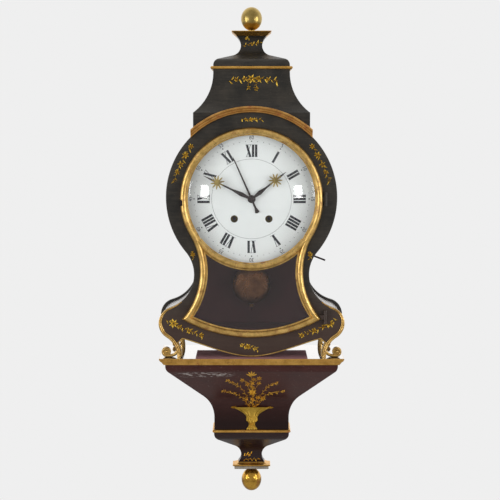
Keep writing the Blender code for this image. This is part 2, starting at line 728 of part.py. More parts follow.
def door_outline():
    """Closed clockwise loop of the violin door's outer edge."""
    centre = (0.0, DIAL_HEIGHT)
    rise = DIAL_HEIGHT - DOOR_WAIST_HEIGHT
    hollow = (DOOR_WAIST_HALF**2 + rise**2 - DOOR_RADIUS**2) / (2 * (DOOR_RADIUS - DOOR_WAIST_HALF))
    hollow_centre = (DOOR_WAIST_HALF + hollow, DOOR_WAIST_HEIGHT)
    turn = bearing(centre, hollow_centre)
    points = arc(centre, DOOR_RADIUS, 90, turn, RING_SIDES)
    points += arc(hollow_centre, hollow, turn + 180, 180, 3)[1:]

    across = DOOR_CORNER_HALF - DOOR_WAIST_HALF
    fall = DOOR_WAIST_HEIGHT - DOOR_CORNER_HEIGHT
    side = (across**2 + fall**2) / (2 * across)
    side_centre = (DOOR_WAIST_HALF + side, DOOR_WAIST_HEIGHT)
    corner = (DOOR_CORNER_HALF, DOOR_CORNER_HEIGHT)
    points += arc(side_centre, side, 180, bearing(side_centre, corner) % 360, 4)[1:]

    drop = DOOR_CORNER_HEIGHT - DOOR_BOTTOM_HEIGHT
    sweep = (DOOR_CORNER_HALF**2 + drop**2) / (2 * drop)
    sweep_centre = (0.0, DOOR_BOTTOM_HEIGHT + sweep)
    points += arc(sweep_centre, sweep, bearing(sweep_centre, corner), -90, 4)[1:]
    return points + mirrored(points)[1:-1]


def door_loop(inset):
    """The door's loop drawn in by an even distance from its outer edge."""
    return [section[0][:2] for section in mitred(door_outline(), [(inset, 0.0)], True)]


def build_case():
    """The violin case: front and back boards with legs, bent walls, bottom board and gilt scroll feet."""
    crown_middle = 90
    front_half = case_side(crown_middle) + leg(0.0) + skirt()
    loop = front_half + mirrored(front_half)[1:-1]
    window = door_loop(WINDOW_INSET)
    flat("case_front", [loop, window], CASE_FRONT_OUT - FRONT_THICKNESS, CASE_FRONT_OUT, BLACK_LACQUER)

    back_half = case_side(crown_middle, 0.0, BACK_FLARE) + leg(BACK_FLARE)
    back_half.append((SKIRT_HALF, SKIRT_SPRING))
    back_loop = back_half + mirrored(back_half)[:-1]
    flat("case_back", [back_loop], CASE_BACK_OUT, CASE_BACK_OUT + BACK_THICKNESS, BLACK_LACQUER)

    split = CAP_SPLIT
    outer, inner = -WALL_INSET, -WALL_INSET - WALL_THICKNESS
    for name, side in (("case_side_left", -1), ("case_side_right", 1)):
        strip = case_side(split, outer) + case_side(split, inner)[::-1]
        loop = [(side * x, z) for x, z in strip]
        wall = flat(name, [loop], WALL_BACK_OUT, WALL_FRONT_OUT, BLACK_LACQUER)
        if side > 0:
            cut(wall, lever_slot())
    joint = math.degrees(SEAT_GAP / RING_RADIUS)
    ring = (0.0, RING_HEIGHT)
    steps = round((180 - 2 * split) / RING_STEP)
    crown = arc(ring, RING_RADIUS + outer, split + joint, 180 - split - joint, steps)
    crown += arc(ring, RING_RADIUS + inner, 180 - split - joint, split + joint, steps)
    flat("case_top", [crown], WALL_BACK_OUT, WALL_FRONT_OUT, BLACK_LACQUER)

    end_x, end_height = case_side(split, inner)[-1]
    half = end_x - SEAT_GAP
    low = (-half, WALL_BACK_OUT, end_height - BOTTOM_THICKNESS)
    box("case_bottom", low, (half, WALL_FRONT_OUT, end_height), BARE_WOOD)

    for row, high_out in (("front", CASE_FRONT_OUT), ("rear", CASE_BACK_OUT + SCROLL_DEPTH)):
        for name, side in (("left", -1), ("right", 1)):
            loop = [(side * x, z) for x, z in scroll_outline()]
            flat(f"foot_{row}_{name}", [loop], high_out - SCROLL_DEPTH, high_out, GILT_BRASS)


def scroll_outline():
    """One gilt scroll foot: a flat tail from the leg that rolls up into a volute."""
    centre = (LEG_HALF + SCROLL_CENTRE_OUTSIDE, SEAT_GAP + SCROLL_RADIUS)
    steps = 18
    outer, inner = [], []
    for i in range(steps + 1):
        share = i / steps
        angle = math.radians(-90 + SCROLL_TURN * share)
        radius = SCROLL_RADIUS + (SCROLL_EYE_RADIUS - SCROLL_RADIUS) * share
        band = SCROLL_BAND + (SCROLL_BAND_END - SCROLL_BAND) * share
        for run, r in ((outer, radius), (inner, radius - band)):
            run.append((centre[0] + r * math.cos(angle), centre[1] + r * math.sin(angle)))
    tail = LEG_HALF + 2 * SEAT_GAP
    return [(tail, SEAT_GAP)] + outer + inner[::-1] + [(tail, SEAT_GAP + SCROLL_BAND)]


def lever_slot():
    """The notch in the right-hand wall that the pull lever swings in."""
    out = WALL_FRONT_OUT - 2 * LEVER_RADIUS - 4 * RUN_GAP
    low = (WAIST_HALF - 2 * WALL_THICKNESS, out - LEVER_RADIUS, LEVER_WALL_HEIGHT - LEVER_SLOT_FALL)
    high = (WAIST_HALF + 2 * WALL_THICKNESS, WALL_FRONT_OUT + SEAT_GAP, LEVER_WALL_HEIGHT + LEVER_SLOT_RISE)
    return box("lever_slot", low, high, BLACK_LACQUER)


def rail_profile(two_sided):
    """(inward, proud) points of the gilt door moulding: a bold bead with a glazing lip, rebated behind."""
    w, h, lip = RAIL_WIDTH, RAIL_PROUD, RAIL_LIP
    bead = [(0.85 * w, lip), (0.82 * w, 0.66 * h), (0.69 * w, 0.91 * h), (0.50 * w, h)]
    glazed = [(w - REBATE_WIDTH, 0), (w - REBATE_WIDTH, REBATE_DEPTH), (w, REBATE_DEPTH), (w, lip)]
    if two_sided:
        right = glazed + bead
        return right + [(w - u, v) for u, v in right[-2::-1]]
    return [(0, 0)] + glazed + bead + [(0.24 * w, 0.90 * h), (0.04 * w, 0.55 * h)]


def build_door():
    """The gilt door: violin frame with a lunette bar, domed and flat glasses, hinges and catch."""
    sections = mitred(door_outline(), rail_profile(False), True)
    rails = [[(x, -DOOR_BACK_OUT - v, z) for x, z, v in row] for row in sections]
    frame = skin("door_frame", rails, GILT_BRASS, closed=True)
    ring = (0.0, DIAL_HEIGHT)
    bar_path = arc(ring, DOOR_RADIUS, -90 + LUNETTE_REACH, -90 - LUNETTE_REACH, 10)
    sections = mitred(bar_path, rail_profile(True), False)
    bar = [[(x, -DOOR_BACK_OUT - v, z) for x, z, v in row] for row in sections]
    join(frame, skin("lunette_bar", bar, GILT_BRASS))
    half = CATCH_LENGTH / 2
    edge = DOOR_RADIUS - CATCH_WIDTH
    notch_low = (-DOOR_RADIUS - CATCH_WIDTH, DOOR_BACK_OUT - RAIL_PROUD, CATCH_HEIGHT - half - SEAT_GAP)
    notch_high = (-edge + SEAT_GAP, DOOR_BACK_OUT + RAIL_PROUD, CATCH_HEIGHT + half + SEAT_GAP)
    cut(frame, box("catch_notch", notch_low, notch_high, GILT_BRASS))
    catch_low = (-DOOR_RADIUS, DOOR_BACK_OUT, CATCH_HEIGHT - half)
    box("door_catch", catch_low, (-edge, DOOR_BACK_OUT + CATCH_DEPTH, CATCH_HEIGHT + half), STEEL)

    flat_share = math.cos(math.radians(DOOR_HALF_TURN / RING_SIDES))
    rim = (DOOR_RADIUS - RAIL_WIDTH + REBATE_WIDTH) * flat_share - SEAT_GAP
    opening = (DOOR_RADIUS - RAIL_WIDTH) * flat_share - SEAT_GAP
    low = DOOR_BACK_OUT + SEAT_GAP
    seat = DOOR_BACK_OUT + REBATE_DEPTH - SEAT_GAP
    turned("dial_glass", dome_shell(opening, rim, low, seat), GLASS, (0, 0, DIAL_HEIGHT), steps=32)

    pane_inset = RAIL_WIDTH - REBATE_WIDTH + SEAT_GAP
    pane = flat("lower_glass", [door_loop(pane_inset)], low, low + GLASS_THICKNESS, GLASS)
    upper = DOOR_RADIUS - REBATE_WIDTH + SEAT_GAP
    above_low = (-DOOR_RADIUS, 0, DIAL_HEIGHT - WINDING_DROP)
    above = box("pane_top", above_low, (DOOR_RADIUS, CASE_DEPTH * 2, DIAL_HEIGHT * 2), GLASS)
    cut(pane, rod("pane_arch", upper, 0, CASE_DEPTH * 2, GLASS, ring, sides=96), above)
    build_hinges()


def dome_shell(opening, rim, low, seat):
    """(radius, out) profile of the domed glass: a flat flange behind the lip and a crown of even wall."""
    crown = (opening**2 + GLASS_DOME**2) / (2 * GLASS_DOME)
    steps = 4
    outside, inside = [], []
    for i in range(steps + 1):
        radius = opening * i / steps
        sag = crown - math.sqrt(crown**2 - radius**2)
        outside.append((radius, seat + GLASS_DOME - sag))
        inside.append((radius * (1 - GLASS_THICKNESS / opening), seat + GLASS_DOME - sag - GLASS_THICKNESS))
    flange = [(rim, seat), (rim, low)]
    return outside + flange + inside[::-1]


def build_hinges():
    """Two small barrel hinges at the door's right-hand edge, each with a fixed pin and a door knuckle."""
    axis_x = max(DOOR_RADIUS, DOOR_CORNER_HALF) + HINGE_BARREL_RADIUS + 4 * RUN_GAP
    axis_out = hinge_out()
    knuckle, gap = HINGE_KNUCKLE, RUN_GAP
    for place_name, height in (("upper", DIAL_HEIGHT), ("lower", LOWER_HINGE_HEIGHT)):
        at = (axis_x, -axis_out, height)
        leaf_low = (axis_x - HINGE_BARREL_RADIUS / 2, CASE_FRONT_OUT + SEAT_GAP, height - 1.5 * knuckle)
        leaf_high = (axis_x + HINGE_LEAF_WIDTH, leaf_low[1] + HINGE_LEAF_THICKNESS, height + 1.5 * knuckle)
        leaf = box(f"hinge_{place_name}_case", leaf_low, leaf_high, BRASS)
        pin = [(0, 1.2 * knuckle), (HINGE_PIN_RADIUS, 1.2 * knuckle)]
        pin += [(HINGE_PIN_RADIUS, -1.2 * knuckle), (0, -1.2 * knuckle)]
        join(leaf, turned(f"pin_{place_name}", pin, BRASS, at, upright=True, steps=10))
        for side in (-1, 1):
            low, high = sorted((side * (0.5 * knuckle + gap), side * 1.45 * knuckle))
            barrel = [(0, high), (HINGE_BARREL_RADIUS, high), (HINGE_BARREL_RADIUS, low), (0, low)]
            join(leaf, turned(f"barrel_{place_name}_{side + 1}", barrel, BRASS, at, upright=True, steps=10))
            web_out = leaf_low[1] + HINGE_LEAF_THICKNESS / 2
            web_low = (axis_x - HINGE_PIN_RADIUS / 2, web_out, height + low + gap)
            web_high = (axis_x + HINGE_BARREL_RADIUS * 0.9, axis_out, height + high - gap)
            join(leaf, box(f"web_{place_name}_{side + 1}", web_low, web_high, BRASS))
        strap_half = 0.5 * knuckle
        strap_x = min(DOOR_RADIUS, DOOR_CORNER_HALF) - 2 * HINGE_BARREL_RADIUS
        strap_low = (strap_x, axis_out - HINGE_PIN_RADIUS, height - strap_half + gap)
        strap_high = (axis_x, axis_out + HINGE_PIN_RADIUS, height + strap_half - gap)
        strap = box(f"hinge_{place_name}_door", strap_low, strap_high, BRASS)
        sleeve = [(0, strap_half), (HINGE_BARREL_RADIUS, strap_half)]
        sleeve += [(HINGE_BARREL_RADIUS, -strap_half), (0, -strap_half)]
        join(strap, turned(f"sleeve_{place_name}", sleeve, BRASS, at, upright=True, steps=10))
        bore_radius = HINGE_PIN_RADIUS + RUN_GAP
        bore = [(0, knuckle), (bore_radius, knuckle), (bore_radius, -knuckle), (0, -knuckle)]
        cut(strap, turned(f"bore_{place_name}", bore, BRASS, at, upright=True, steps=10))
        outline = door_loop(-SEAT_GAP)
        cut(strap, flat(f"door_edge_{place_name}", [outline], 0, CASE_DEPTH * 2, GILT_BRASS))


def hinge_out():
    """Distance of the door's hinge axis from the wall, so that the barrels clear the front board."""
    return DOOR_BACK_OUT + HINGE_BARREL_RADIUS + HINGE_LEAF_THICKNESS + 2 * SEAT_GAP + RUN_GAP


def cap_profile():
    """(half width, height) of the cap from below its arch to the top of its neck."""
    fall = CAP_NECKING_HEIGHT - CAP_UPRIGHT_TOP
    spread = CAP_HALF - CAP_NECKING_HALF
    radius = (fall**2 + spread**2) / (2 * spread)
    points = [(CAP_HALF, RING_HEIGHT), (CAP_HALF, CAP_UPRIGHT_TOP)]
    for i in range(1, 10):
        z = CAP_UPRIGHT_TOP + fall * i / 9
        flare = radius - math.sqrt(radius**2 - (CAP_NECKING_HEIGHT - z) ** 2)
        points.append((CAP_NECKING_HALF + flare, z))
    rise = ogee(CAP_NECKING_HALF, CAP_NECK_HALF, CAP_SHOULDER_SLOPE, CAP_SHOULDER_RADIUS, CAP_NECK_RADIUS)
    points += [(half, CAP_SHOULDER_HEIGHT + drop) for half, drop in rise]
    neck = points[-1][1]
    mouth = CAP_MOUTH_HEIGHT - neck
    widen = CAP_MOUTH_HALF - CAP_NECK_HALF
    radius = (mouth**2 + widen**2) / (2 * widen)
    for i in range(1, 5):
        z = mouth * i / 4
        points.append((CAP_NECK_HALF + radius - math.sqrt(radius**2 - z**2), neck + z))
    return points


def cap_section(half, z, wall=0.0):
    """Four corners of the cap at one height: its front and sides draw in together and its back is upright."""
    front = CASE_FRONT_OUT - CAP_HALF + half - wall
    back = CASE_BACK_OUT + wall
    x = half - wall
    return [(-x, -front, z), (x, -front, z), (x, -back, z), (-x, -back, z)]


def build_cap():
    """The lift-off cap: a hollow bell-shaped hood with gilt arch moulding, astragal, plate and ball."""
    levels = cap_profile()
    body = skin("cap_body", [cap_section(half, z) for half, z in levels], BLACK_LACQUER)
    hollow = [(half, z) for half, z in levels if z <= CAP_SHOULDER_HEIGHT]
    cut(body, skin("cap_hollow", [cap_section(half, z, CAP_WALL) for half, z in hollow], BLACK_LACQUER))
    ring = (0.0, RING_HEIGHT)
    seat = RING_RADIUS + CAP_CLEAR
    cut(body, rod("cap_arch", seat, -CASE_DEPTH, 2 * CASE_DEPTH, BLACK_LACQUER, ring, sides=60))

    w, h = ARCH_WIDTH, ARCH_PROUD
    moulding = [(0, 0), (0, 0.45 * h), (0.12 * w, 0.72 * h), (0.30 * w, 0.55 * h), (0.52 * w, 0.66 * h)]
    moulding += [(0.72 * w, h), (0.90 * w, h), (w, 0.80 * h), (w, 0)]
    low = RING_RADIUS - ARCH_LAP
    face = CASE_FRONT_OUT + SEAT_GAP
    end_x = CAP_HALF + SEAT_GAP + ARCH_RETURN_PROUD
    end = math.degrees(math.acos(end_x / low))
    path = arc(ring, low, end, 180 - end, 18)
    run = mitred(path, moulding, False)
    arch = skin("cap_arch_moulding", [[(x, -face - v, z) for x, z, v in row] for row in run], GILT_WOOD)
    foot = path[0][1]
    for side in (-1, 1):
        near, far = side * (CAP_HALF + SEAT_GAP), side * end_x
        low_corner = (min(near, far), CASE_BACK_OUT, foot)
        high_corner = (max(near, far), face + 0.45 * h, foot + w)
        side_return = box(f"arch_return_{side + 1}", low_corner, high_corner, GILT_WOOD)
        clear = rod(f"return_seat_{side + 1}", seat, -CASE_DEPTH, face, GILT_WOOD, ring, sides=60)
        cut(side_return, clear)
        join(arch, side_return)

    half = CAP_NECKING_HALF + SEAT_GAP
    front = CASE_FRONT_OUT - CAP_HALF + CAP_NECKING_HALF + SEAT_GAP
    h = CAP_ASTRAGAL_HEIGHT
    bead = [(0, 0)] + arc((CAP_ASTRAGAL_PROUD - h / 2, h / 2), h / 2, -90, 90, 6) + [(0, h)]
    plan_moulding("cap_astragal", half, CASE_BACK_OUT, bead, CAP_ASTRAGAL_BASE, GILT_WOOD, front)

    base = CAP_MOUTH_HEIGHT + SEAT_GAP
    rise = CAP_PLATE_HEIGHT
    steps = [(CAP_MOUTH_HALF, 0), (CAP_MOUTH_HALF + 0.30 * (CAP_PLATE_HALF - CAP_MOUTH_HALF), 0.40 * rise)]
    steps += [(CAP_PLATE_HALF, 0.75 * rise), (CAP_PLATE_HALF, rise)]
    skin("cap_top_plate", [cap_section(half, base + z) for half, z in steps], GILT_WOOD)
    middle = (CASE_FRONT_OUT - CAP_HALF + CAP_PLATE_HALF + CASE_BACK_OUT) / 2
    centre = base + rise + SEAT_GAP + BALL_PEG_LENGTH + BALL_HALF_HEIGHT
    ball("cap_ball", BALL_RADIUS, BALL_HALF_HEIGHT, (0, -middle, centre), BALL_PEG_LENGTH)


def dial_out(radius):
    """Distance of the dial's convex face from the wall at a radius from its centre."""
    crown = (DIAL_RADIUS**2 + DIAL_DOME**2) / (2 * DIAL_DOME)
    return DIAL_CENTRE_OUT - crown + math.sqrt(crown**2 - radius**2)


def dial_feet():
    """Places of the three dial feet, about the dial's centre."""
    return [arc((0, 0), DIAL_FOOT_CIRCLE, angle, angle, 1)[0] for angle in (90, 210, 330)]


def pipe_radii():
    """Outer radii of the cannon, hour and alarm pipes, nested with running gaps."""
    hour = CANNON_RADIUS + RUN_GAP + PIPE_WALL
    return CANNON_RADIUS, hour, hour + RUN_GAP + PIPE_WALL


def build_dial():
    """The convex enamel dial with its winding holes and copper feet."""
    bore = pipe_radii()[2] + 2 * RUN_GAP
    radii = [bore + (DIAL_RADIUS - bore) * i / 4 for i in range(5)]
    face = [(r, dial_out(r)) for r in radii]
    back = [(r, dial_out(r) - DIAL_THICKNESS) for r in radii[::2]]
    centre = (0, 0, DIAL_HEIGHT)
    dial = turned("dial", face + back[::-1], ENAMEL, centre, ring=True, steps=32)
    for side in (-1, 1):
        at = (side * WINDING_HALF, DIAL_HEIGHT - WINDING_DROP)
        hole = rod(f"winding_hole_{side + 1}", WINDING_HOLE_RADIUS, 0, CASE_DEPTH * 2, ENAMEL, at, sides=12)
        cut(dial, hole)
    for i, (x, z) in enumerate(dial_feet()):
        high = dial_out(DIAL_FOOT_CIRCLE) - DIAL_THICKNESS / 2
        at = (x, DIAL_HEIGHT + z)
        join(dial, rod(f"dial_foot_{i}", DIAL_FOOT_RADIUS, PLATES_FRONT_OUT, high, ENAMEL, at))


def shaft(length, start, widths):
    """Closed loop of a hand's blade pointing at twelve: (share of length, half width) pairs, then its tip."""
    side = [(half, start + (length - start) * share) for share, half in widths]
    return side + [(0, length)] + mirrored(side)


def star():
    """Closed loop of the rayed star on a hand."""
    points = []
    for i in range(2 * STAR_RAYS):
        radius = STAR_INNER_RADIUS if i % 2 else STAR_RADIUS
        points += arc((0, 0), radius, 90 + 180 * i / STAR_RAYS, 0, 1)[:1]
    return points


def hand(name, bore, boss, out, blades, clockwise, star_at=None):
    """A blued hand on the dial's centre: blades, a bored boss and, on the hour and minute hands, a star."""
    high = out + HAND_THICKNESS
    centre = (0.0, DIAL_HEIGHT)
    piece = collar(name, boss, bore, out, high, STEEL, centre)
    for i, blade in enumerate(blades):
        join(piece, flat(f"{name}_blade_{i}", [turned_loop(blade, clockwise)], out, high, STEEL, centre))
    if star_at:
        loop = turned_loop([(x, z + star_at) for x, z in star()], clockwise)
        rise = (STAR_THICKNESS - HAND_THICKNESS) / 2
        join(piece, flat(f"{name}_star", [loop], out - rise, high + rise, GILT_BRASS, centre))
    return piece


def build_hands():
    """Alarm, hour and minute hands with the pipes that carry them, and the nut on the centre arbor."""
    cannon, hour_pipe, alarm_pipe = pipe_radii()
    centre = (0.0, DIAL_HEIGHT)
    alarm_out = DIAL_CENTRE_OUT + HAND_CLEAR
    hour_out = alarm_out + HAND_STEP
    minute_out = hour_out + HAND_STEP

    tail_start = -0.97 * BOSS_RADIUS
    half_tail = [(ALARM_HALF, tail_start), (ALARM_TAIL_HALF, -ALARM_TAIL)]
    tail = half_tail + mirrored(half_tail)
    blade = shaft(ALARM_LENGTH, alarm_pipe + PIPE_WALL, [(0, ALARM_HALF), (0.9, ALARM_END_HALF)])
    alarm = hand("alarm_hand", hour_pipe + RUN_GAP, BOSS_RADIUS * 1.1, alarm_out, [blade, tail], ALARM_ANGLE)
    pipe_low = DIAL_CENTRE_OUT - DIAL_THICKNESS - WHEEL_THICKNESS
    pipe_high = alarm_out + HAND_THICKNESS / 2
    join(alarm, collar("alarm_pipe", alarm_pipe, hour_pipe + RUN_GAP, pipe_low, pipe_high, STEEL, centre))

    widths = [(0, BLADE_ROOT_HALF), (0.10, BLADE_SWELL_HALF), (0.24, BLADE_NECK_HALF)]
    widths += [(0.62, BLADE_SLIM_HALF), (0.80, BLADE_FIN_HALF), (0.92, BLADE_END_HALF)]
    blade = shaft(HOUR_LENGTH, hour_pipe + PIPE_WALL, widths)
    hand("hour_hand", hour_pipe + SEAT_GAP, BOSS_RADIUS * 1.05, hour_out, [blade], HOUR_ANGLE, HOUR_STAR)
    blade = shaft(MINUTE_LENGTH, cannon + PIPE_WALL, widths)
    hand("minute_hand", cannon + SEAT_GAP, BOSS_RADIUS, minute_out, [blade], MINUTE_ANGLE, MINUTE_STAR)

    low = minute_out + HAND_THICKNESS + SEAT_GAP
    bore = CENTRE_ARBOR_RADIUS + SEAT_GAP
    depth = 0.6 * NUT_HEIGHT
    nut = [(0, low + NUT_HEIGHT), (0.6 * NUT_RADIUS, low + NUT_HEIGHT), (NUT_RADIUS, low + 0.5 * NUT_HEIGHT)]
    nut += [(NUT_RADIUS, low), (bore, low), (bore, low + depth), (0, low + depth)]
    turned("hand_nut", nut, BRASS, (0, 0, DIAL_HEIGHT), steps=16)
    return minute_out, hour_out, low + depth - SEAT_GAP


def gear(teeth, module, phase):
    """Closed loop of a wheel or pinion with pointed teeth, one tooth's middle lying at the phase angle."""
    pitch = module * teeth / 2
    points = []
    for i in range(2 * teeth):
        height = -TOOTH_ROOT if i % 2 else TOOTH_TIP
        points += arc((0, 0), pitch + height * module, phase + 180 * i / teeth, 0, 1)[:1]
    return points


def crossings(rim, hub, arms=4):
    """The open sectors between the arms of a crossed-out wheel."""
    loops = []
    for i in range(arms):
        start, end = 360 * i / arms, 360 * (i + 1) / arms
        outer, inner = math.degrees(ARM_HALF / rim), math.degrees(ARM_HALF / hub)
        outside = arc((0, 0), rim, start + outer, end - outer, 4)
        loops.append(outside + arc((0, 0), hub, end - inner, start + inner, 1))
    return loops


def train_places():
    """Arbor centres of the going train about the dial's centre, and the great wheel's module."""
    barrel = (WINDING_HALF, -WINDING_DROP)
    great_module = 2 * math.hypot(*barrel) / (GREAT_TEETH + CENTRE_PINION_TEETH)
    reach = CENTRE_MODULE * (CENTRE_TEETH + THIRD_PINION_TEETH) / 2
    third = arc((0, 0), reach, 90 - THIRD_BEARING, 0, 1)[0]
    reach = THIRD_MODULE * (THIRD_TEETH + ESCAPE_PINION_TEETH) / 2
    escape = (0.0, third[1] + math.sqrt(reach**2 - third[0] ** 2))
    return barrel, great_module, third, escape


def minute_wheel_reach():
    """Centre distance of the motion work."""
    return MOTION_MODULE * (CANNON_TEETH + MINUTE_WHEEL_TEETH) / 2


def pillar_places():
    """Places of the four plate pillars about the dial's centre."""
    x = PLATE_HALF - PILLAR_EDGE
    return [(side * x, z) for side in (-1, 1) for z in (PLATE_RISE - PILLAR_EDGE, PILLAR_EDGE - PLATE_FALL)]


def build_plates():
    """The movement's two brass plates: the back one carries the pillars, the front one is pinned on."""
    barrel, _, third, escape = train_places()
    plate = [(-PLATE_HALF, -PLATE_FALL), (PLATE_HALF, -PLATE_FALL)]
    plate += [(PLATE_HALF, PLATE_RISE), (-PLATE_HALF, PLATE_RISE)]
    pivots = [(third, ARBOR_RADIUS), (escape, ARBOR_RADIUS), ((0, PALLET_RISE), ARBOR_RADIUS)]
    pivots += [((0, 0), CENTRE_ARBOR_RADIUS), (barrel, WINDING_ARBOR_RADIUS)]
    pivots += [((-barrel[0], barrel[1]), WINDING_ARBOR_RADIUS), ((HAMMER_HALF, HAMMER_RISE), ARBOR_RADIUS)]
    bores = [circle(radius + RUN_GAP, place) for place, radius in pivots]
    front_holes = [circle(PILLAR_PIVOT_RADIUS + SEAT_GAP, place) for place in pillar_places()]
    front_holes += [circle(DIAL_FOOT_RADIUS + SEAT_GAP, place) for place in dial_feet()]
    front_holes.append(circle(ARBOR_RADIUS + RUN_GAP, (0, minute_wheel_reach())))
    front_holes.append(circle(ARBOR_RADIUS + RUN_GAP, (LEVER_PIVOT_HALF, -LEVER_PIVOT_DROP)))
    centre = (0.0, DIAL_HEIGHT)
    flat("front_plate", [plate] + bores + front_holes, PLATES_FRONT_OUT, FRONT_PLATE_OUT, BRASS, centre)
    back = flat("back_plate", [plate] + bores, BACK_PLATE_OUT, PLATES_BACK_OUT, BRASS, centre)
    shoulder = PLATES_FRONT_OUT - SEAT_GAP
    r = PILLAR_RADIUS
    waist = (PLATES_BACK_OUT + shoulder) / 2
    shape = [(0, FRONT_PLATE_OUT), (PILLAR_PIVOT_RADIUS, FRONT_PLATE_OUT)]
    shape += [(PILLAR_PIVOT_RADIUS, shoulder), (r, shoulder), (1.3 * r, waist)]
    shape += [(r, BACK_PLATE_OUT + PLATE_THICKNESS / 2), (0, BACK_PLATE_OUT + PLATE_THICKNESS / 2)]
    for i, (x, z) in enumerate(pillar_places()):
        join(back, turned(f"pillar_{i}", shape, BRASS, (x, 0, DIAL_HEIGHT + z), steps=8))

    inside = RING_RADIUS - WALL_INSET - WALL_THICKNESS
    half = math.sqrt(inside**2 - (RING_HEIGHT - seat_low()) ** 2) - SEAT_GAP
    top = seat_low() + SEAT_THICKNESS
    box("seat_board", (-half, BACK_PLATE_OUT, seat_low()), (half, FRONT_PLATE_OUT, top), BARE_WOOD)


def seat_low():
    """Height of the underside of the board that the movement stands on."""
    return DIAL_HEIGHT - PLATE_FALL - SEAT_GAP - SEAT_THICKNESS


def barrel_set(name, side, phase, high_out, forward):
    """One mainspring barrel with its great wheel at its front or rear end, and its winding arbor."""
    barrel, module, _, _ = train_places()
    at = (side * barrel[0], DIAL_HEIGHT + barrel[1])
    bore = WINDING_ARBOR_RADIUS + RUN_GAP
    low_out = high_out - WHEEL_THICKNESS
    great_wheel = [gear(GREAT_TEETH, module, phase), circle(bore)]
    piece = flat(f"{name}_barrel", great_wheel, low_out, high_out, BRASS, at)
    middle = (low_out + high_out) / 2
    drum_high = middle if forward else middle + BARREL_LENGTH
    drum_low = drum_high - BARREL_LENGTH
    join(piece, collar(f"{name}_drum", BARREL_RADIUS, bore, drum_low, drum_high, BRASS, at, sides=18))
    tip = dial_out(math.hypot(*barrel)) - DIAL_THICKNESS
    arbor_high = PLATES_FRONT_OUT + 2 * PLATE_THICKNESS
    arbor = rod(f"{name}_arbor", WINDING_ARBOR_RADIUS, BACK_PLATE_OUT, arbor_high, STEEL, at)
    edge = WINDING_ARBOR_RADIUS * 0.7
    square = [(-edge, -edge), (edge, -edge), (edge, edge), (-edge, edge)]
    join(arbor, flat(f"{name}_square", [square], PLATES_FRONT_OUT, tip, STEEL, at))


def arbor_wheel(name, at, arbor, pieces):
    """A wheel, its pinions and its arbor as one turned piece. The first piece is the wheel itself."""
    loops, low, high = pieces[0]
    piece = flat(name, loops, low, high, BRASS, at)
    for i, (loops, low, high) in enumerate(pieces[1:]):
        join(piece, flat(f"{name}_pinion_{i}", loops, low, high, STEEL, at))
    radius, low, high = arbor
    join(piece, rod(f"{name}_arbor", radius, low, high, STEEL, at))
    return piece


def build_train(centre_tip):
    """The going train in mesh: great, centre, third and escape wheels; and the strike barrel."""
    barrel, great_module, third, escape = train_places()
    origin = (0.0, 0.0)
    first_high = PLATES_FRONT_OUT - SEAT_GAP - FRONT_WHEEL_CLEAR
    to_barrel = bearing(origin, barrel)
    barrel_set("going", 1, to_barrel + 180, first_high, True)
    last_high = PLATES_BACK_OUT + STRIKE_WHEEL_STEP
    barrel_set("strike", -1, 0, last_high, False)

    thick = WHEEL_THICKNESS
    centre_low = PLATES_BACK_OUT + CENTRE_WHEEL_STEP
    to_third = bearing(origin, third)
    centre_wheel = gear(CENTRE_TEETH, CENTRE_MODULE, to_third)
    rim = CENTRE_MODULE * CENTRE_TEETH / 2 - 4 * CENTRE_MODULE
    loops = [centre_wheel] + crossings(rim, HUB_RADIUS)
    leaves = gear(CENTRE_PINION_TEETH, great_module, to_barrel + 180 / CENTRE_PINION_TEETH)
    pinion_low = first_high - thick / 2 - PINION_LENGTH / 2
    arbor = (CENTRE_ARBOR_RADIUS, BACK_PLATE_OUT, centre_tip)
    pieces = [(loops, centre_low, centre_low + thick), ([leaves], pinion_low, PLATES_FRONT_OUT - SEAT_GAP)]
    arbor_wheel("centre_wheel", (0, DIAL_HEIGHT), arbor, pieces)

    third_low = centre_low + THIRD_WHEEL_STEP
    third_at = (third[0], DIAL_HEIGHT + third[1])
    to_escape = bearing(third, escape)
    loops = [gear(THIRD_TEETH, THIRD_MODULE, to_escape)]
    leaves = gear(THIRD_PINION_TEETH, CENTRE_MODULE, to_third + 180 + 180 / THIRD_PINION_TEETH)
    low = centre_low + thick / 2 - PINION_LENGTH / 2
    arbor = (ARBOR_RADIUS, BACK_PLATE_OUT, FRONT_PLATE_OUT)
    pieces = [(loops, third_low, third_low + thick), ([leaves], low, low + PINION_LENGTH)]
    arbor_wheel("third_wheel", third_at, arbor, pieces)

    escape_low = centre_low + ESCAPE_WHEEL_STEP
    escape_at = (escape[0], DIAL_HEIGHT + escape[1])
    saw = []
    for i in range(ESCAPE_TEETH):
        angle = 360 * i / ESCAPE_TEETH
        saw += arc(origin, ESCAPE_RADIUS * 0.86, angle, 0, 1)[:1]
        saw += arc(origin, ESCAPE_RADIUS, angle + 270 / ESCAPE_TEETH, 0, 1)[:1]
    leaves = gear(ESCAPE_PINION_TEETH, THIRD_MODULE, to_escape + 180 + 180 / ESCAPE_PINION_TEETH)
    low = third_low + thick / 2 - PINION_LENGTH / 2
    pieces = [([saw], escape_low, escape_low + thick), ([leaves], low, low + PINION_LENGTH)]
    arbor_wheel("escape_wheel", escape_at, arbor, pieces)
    return escape_low, escape


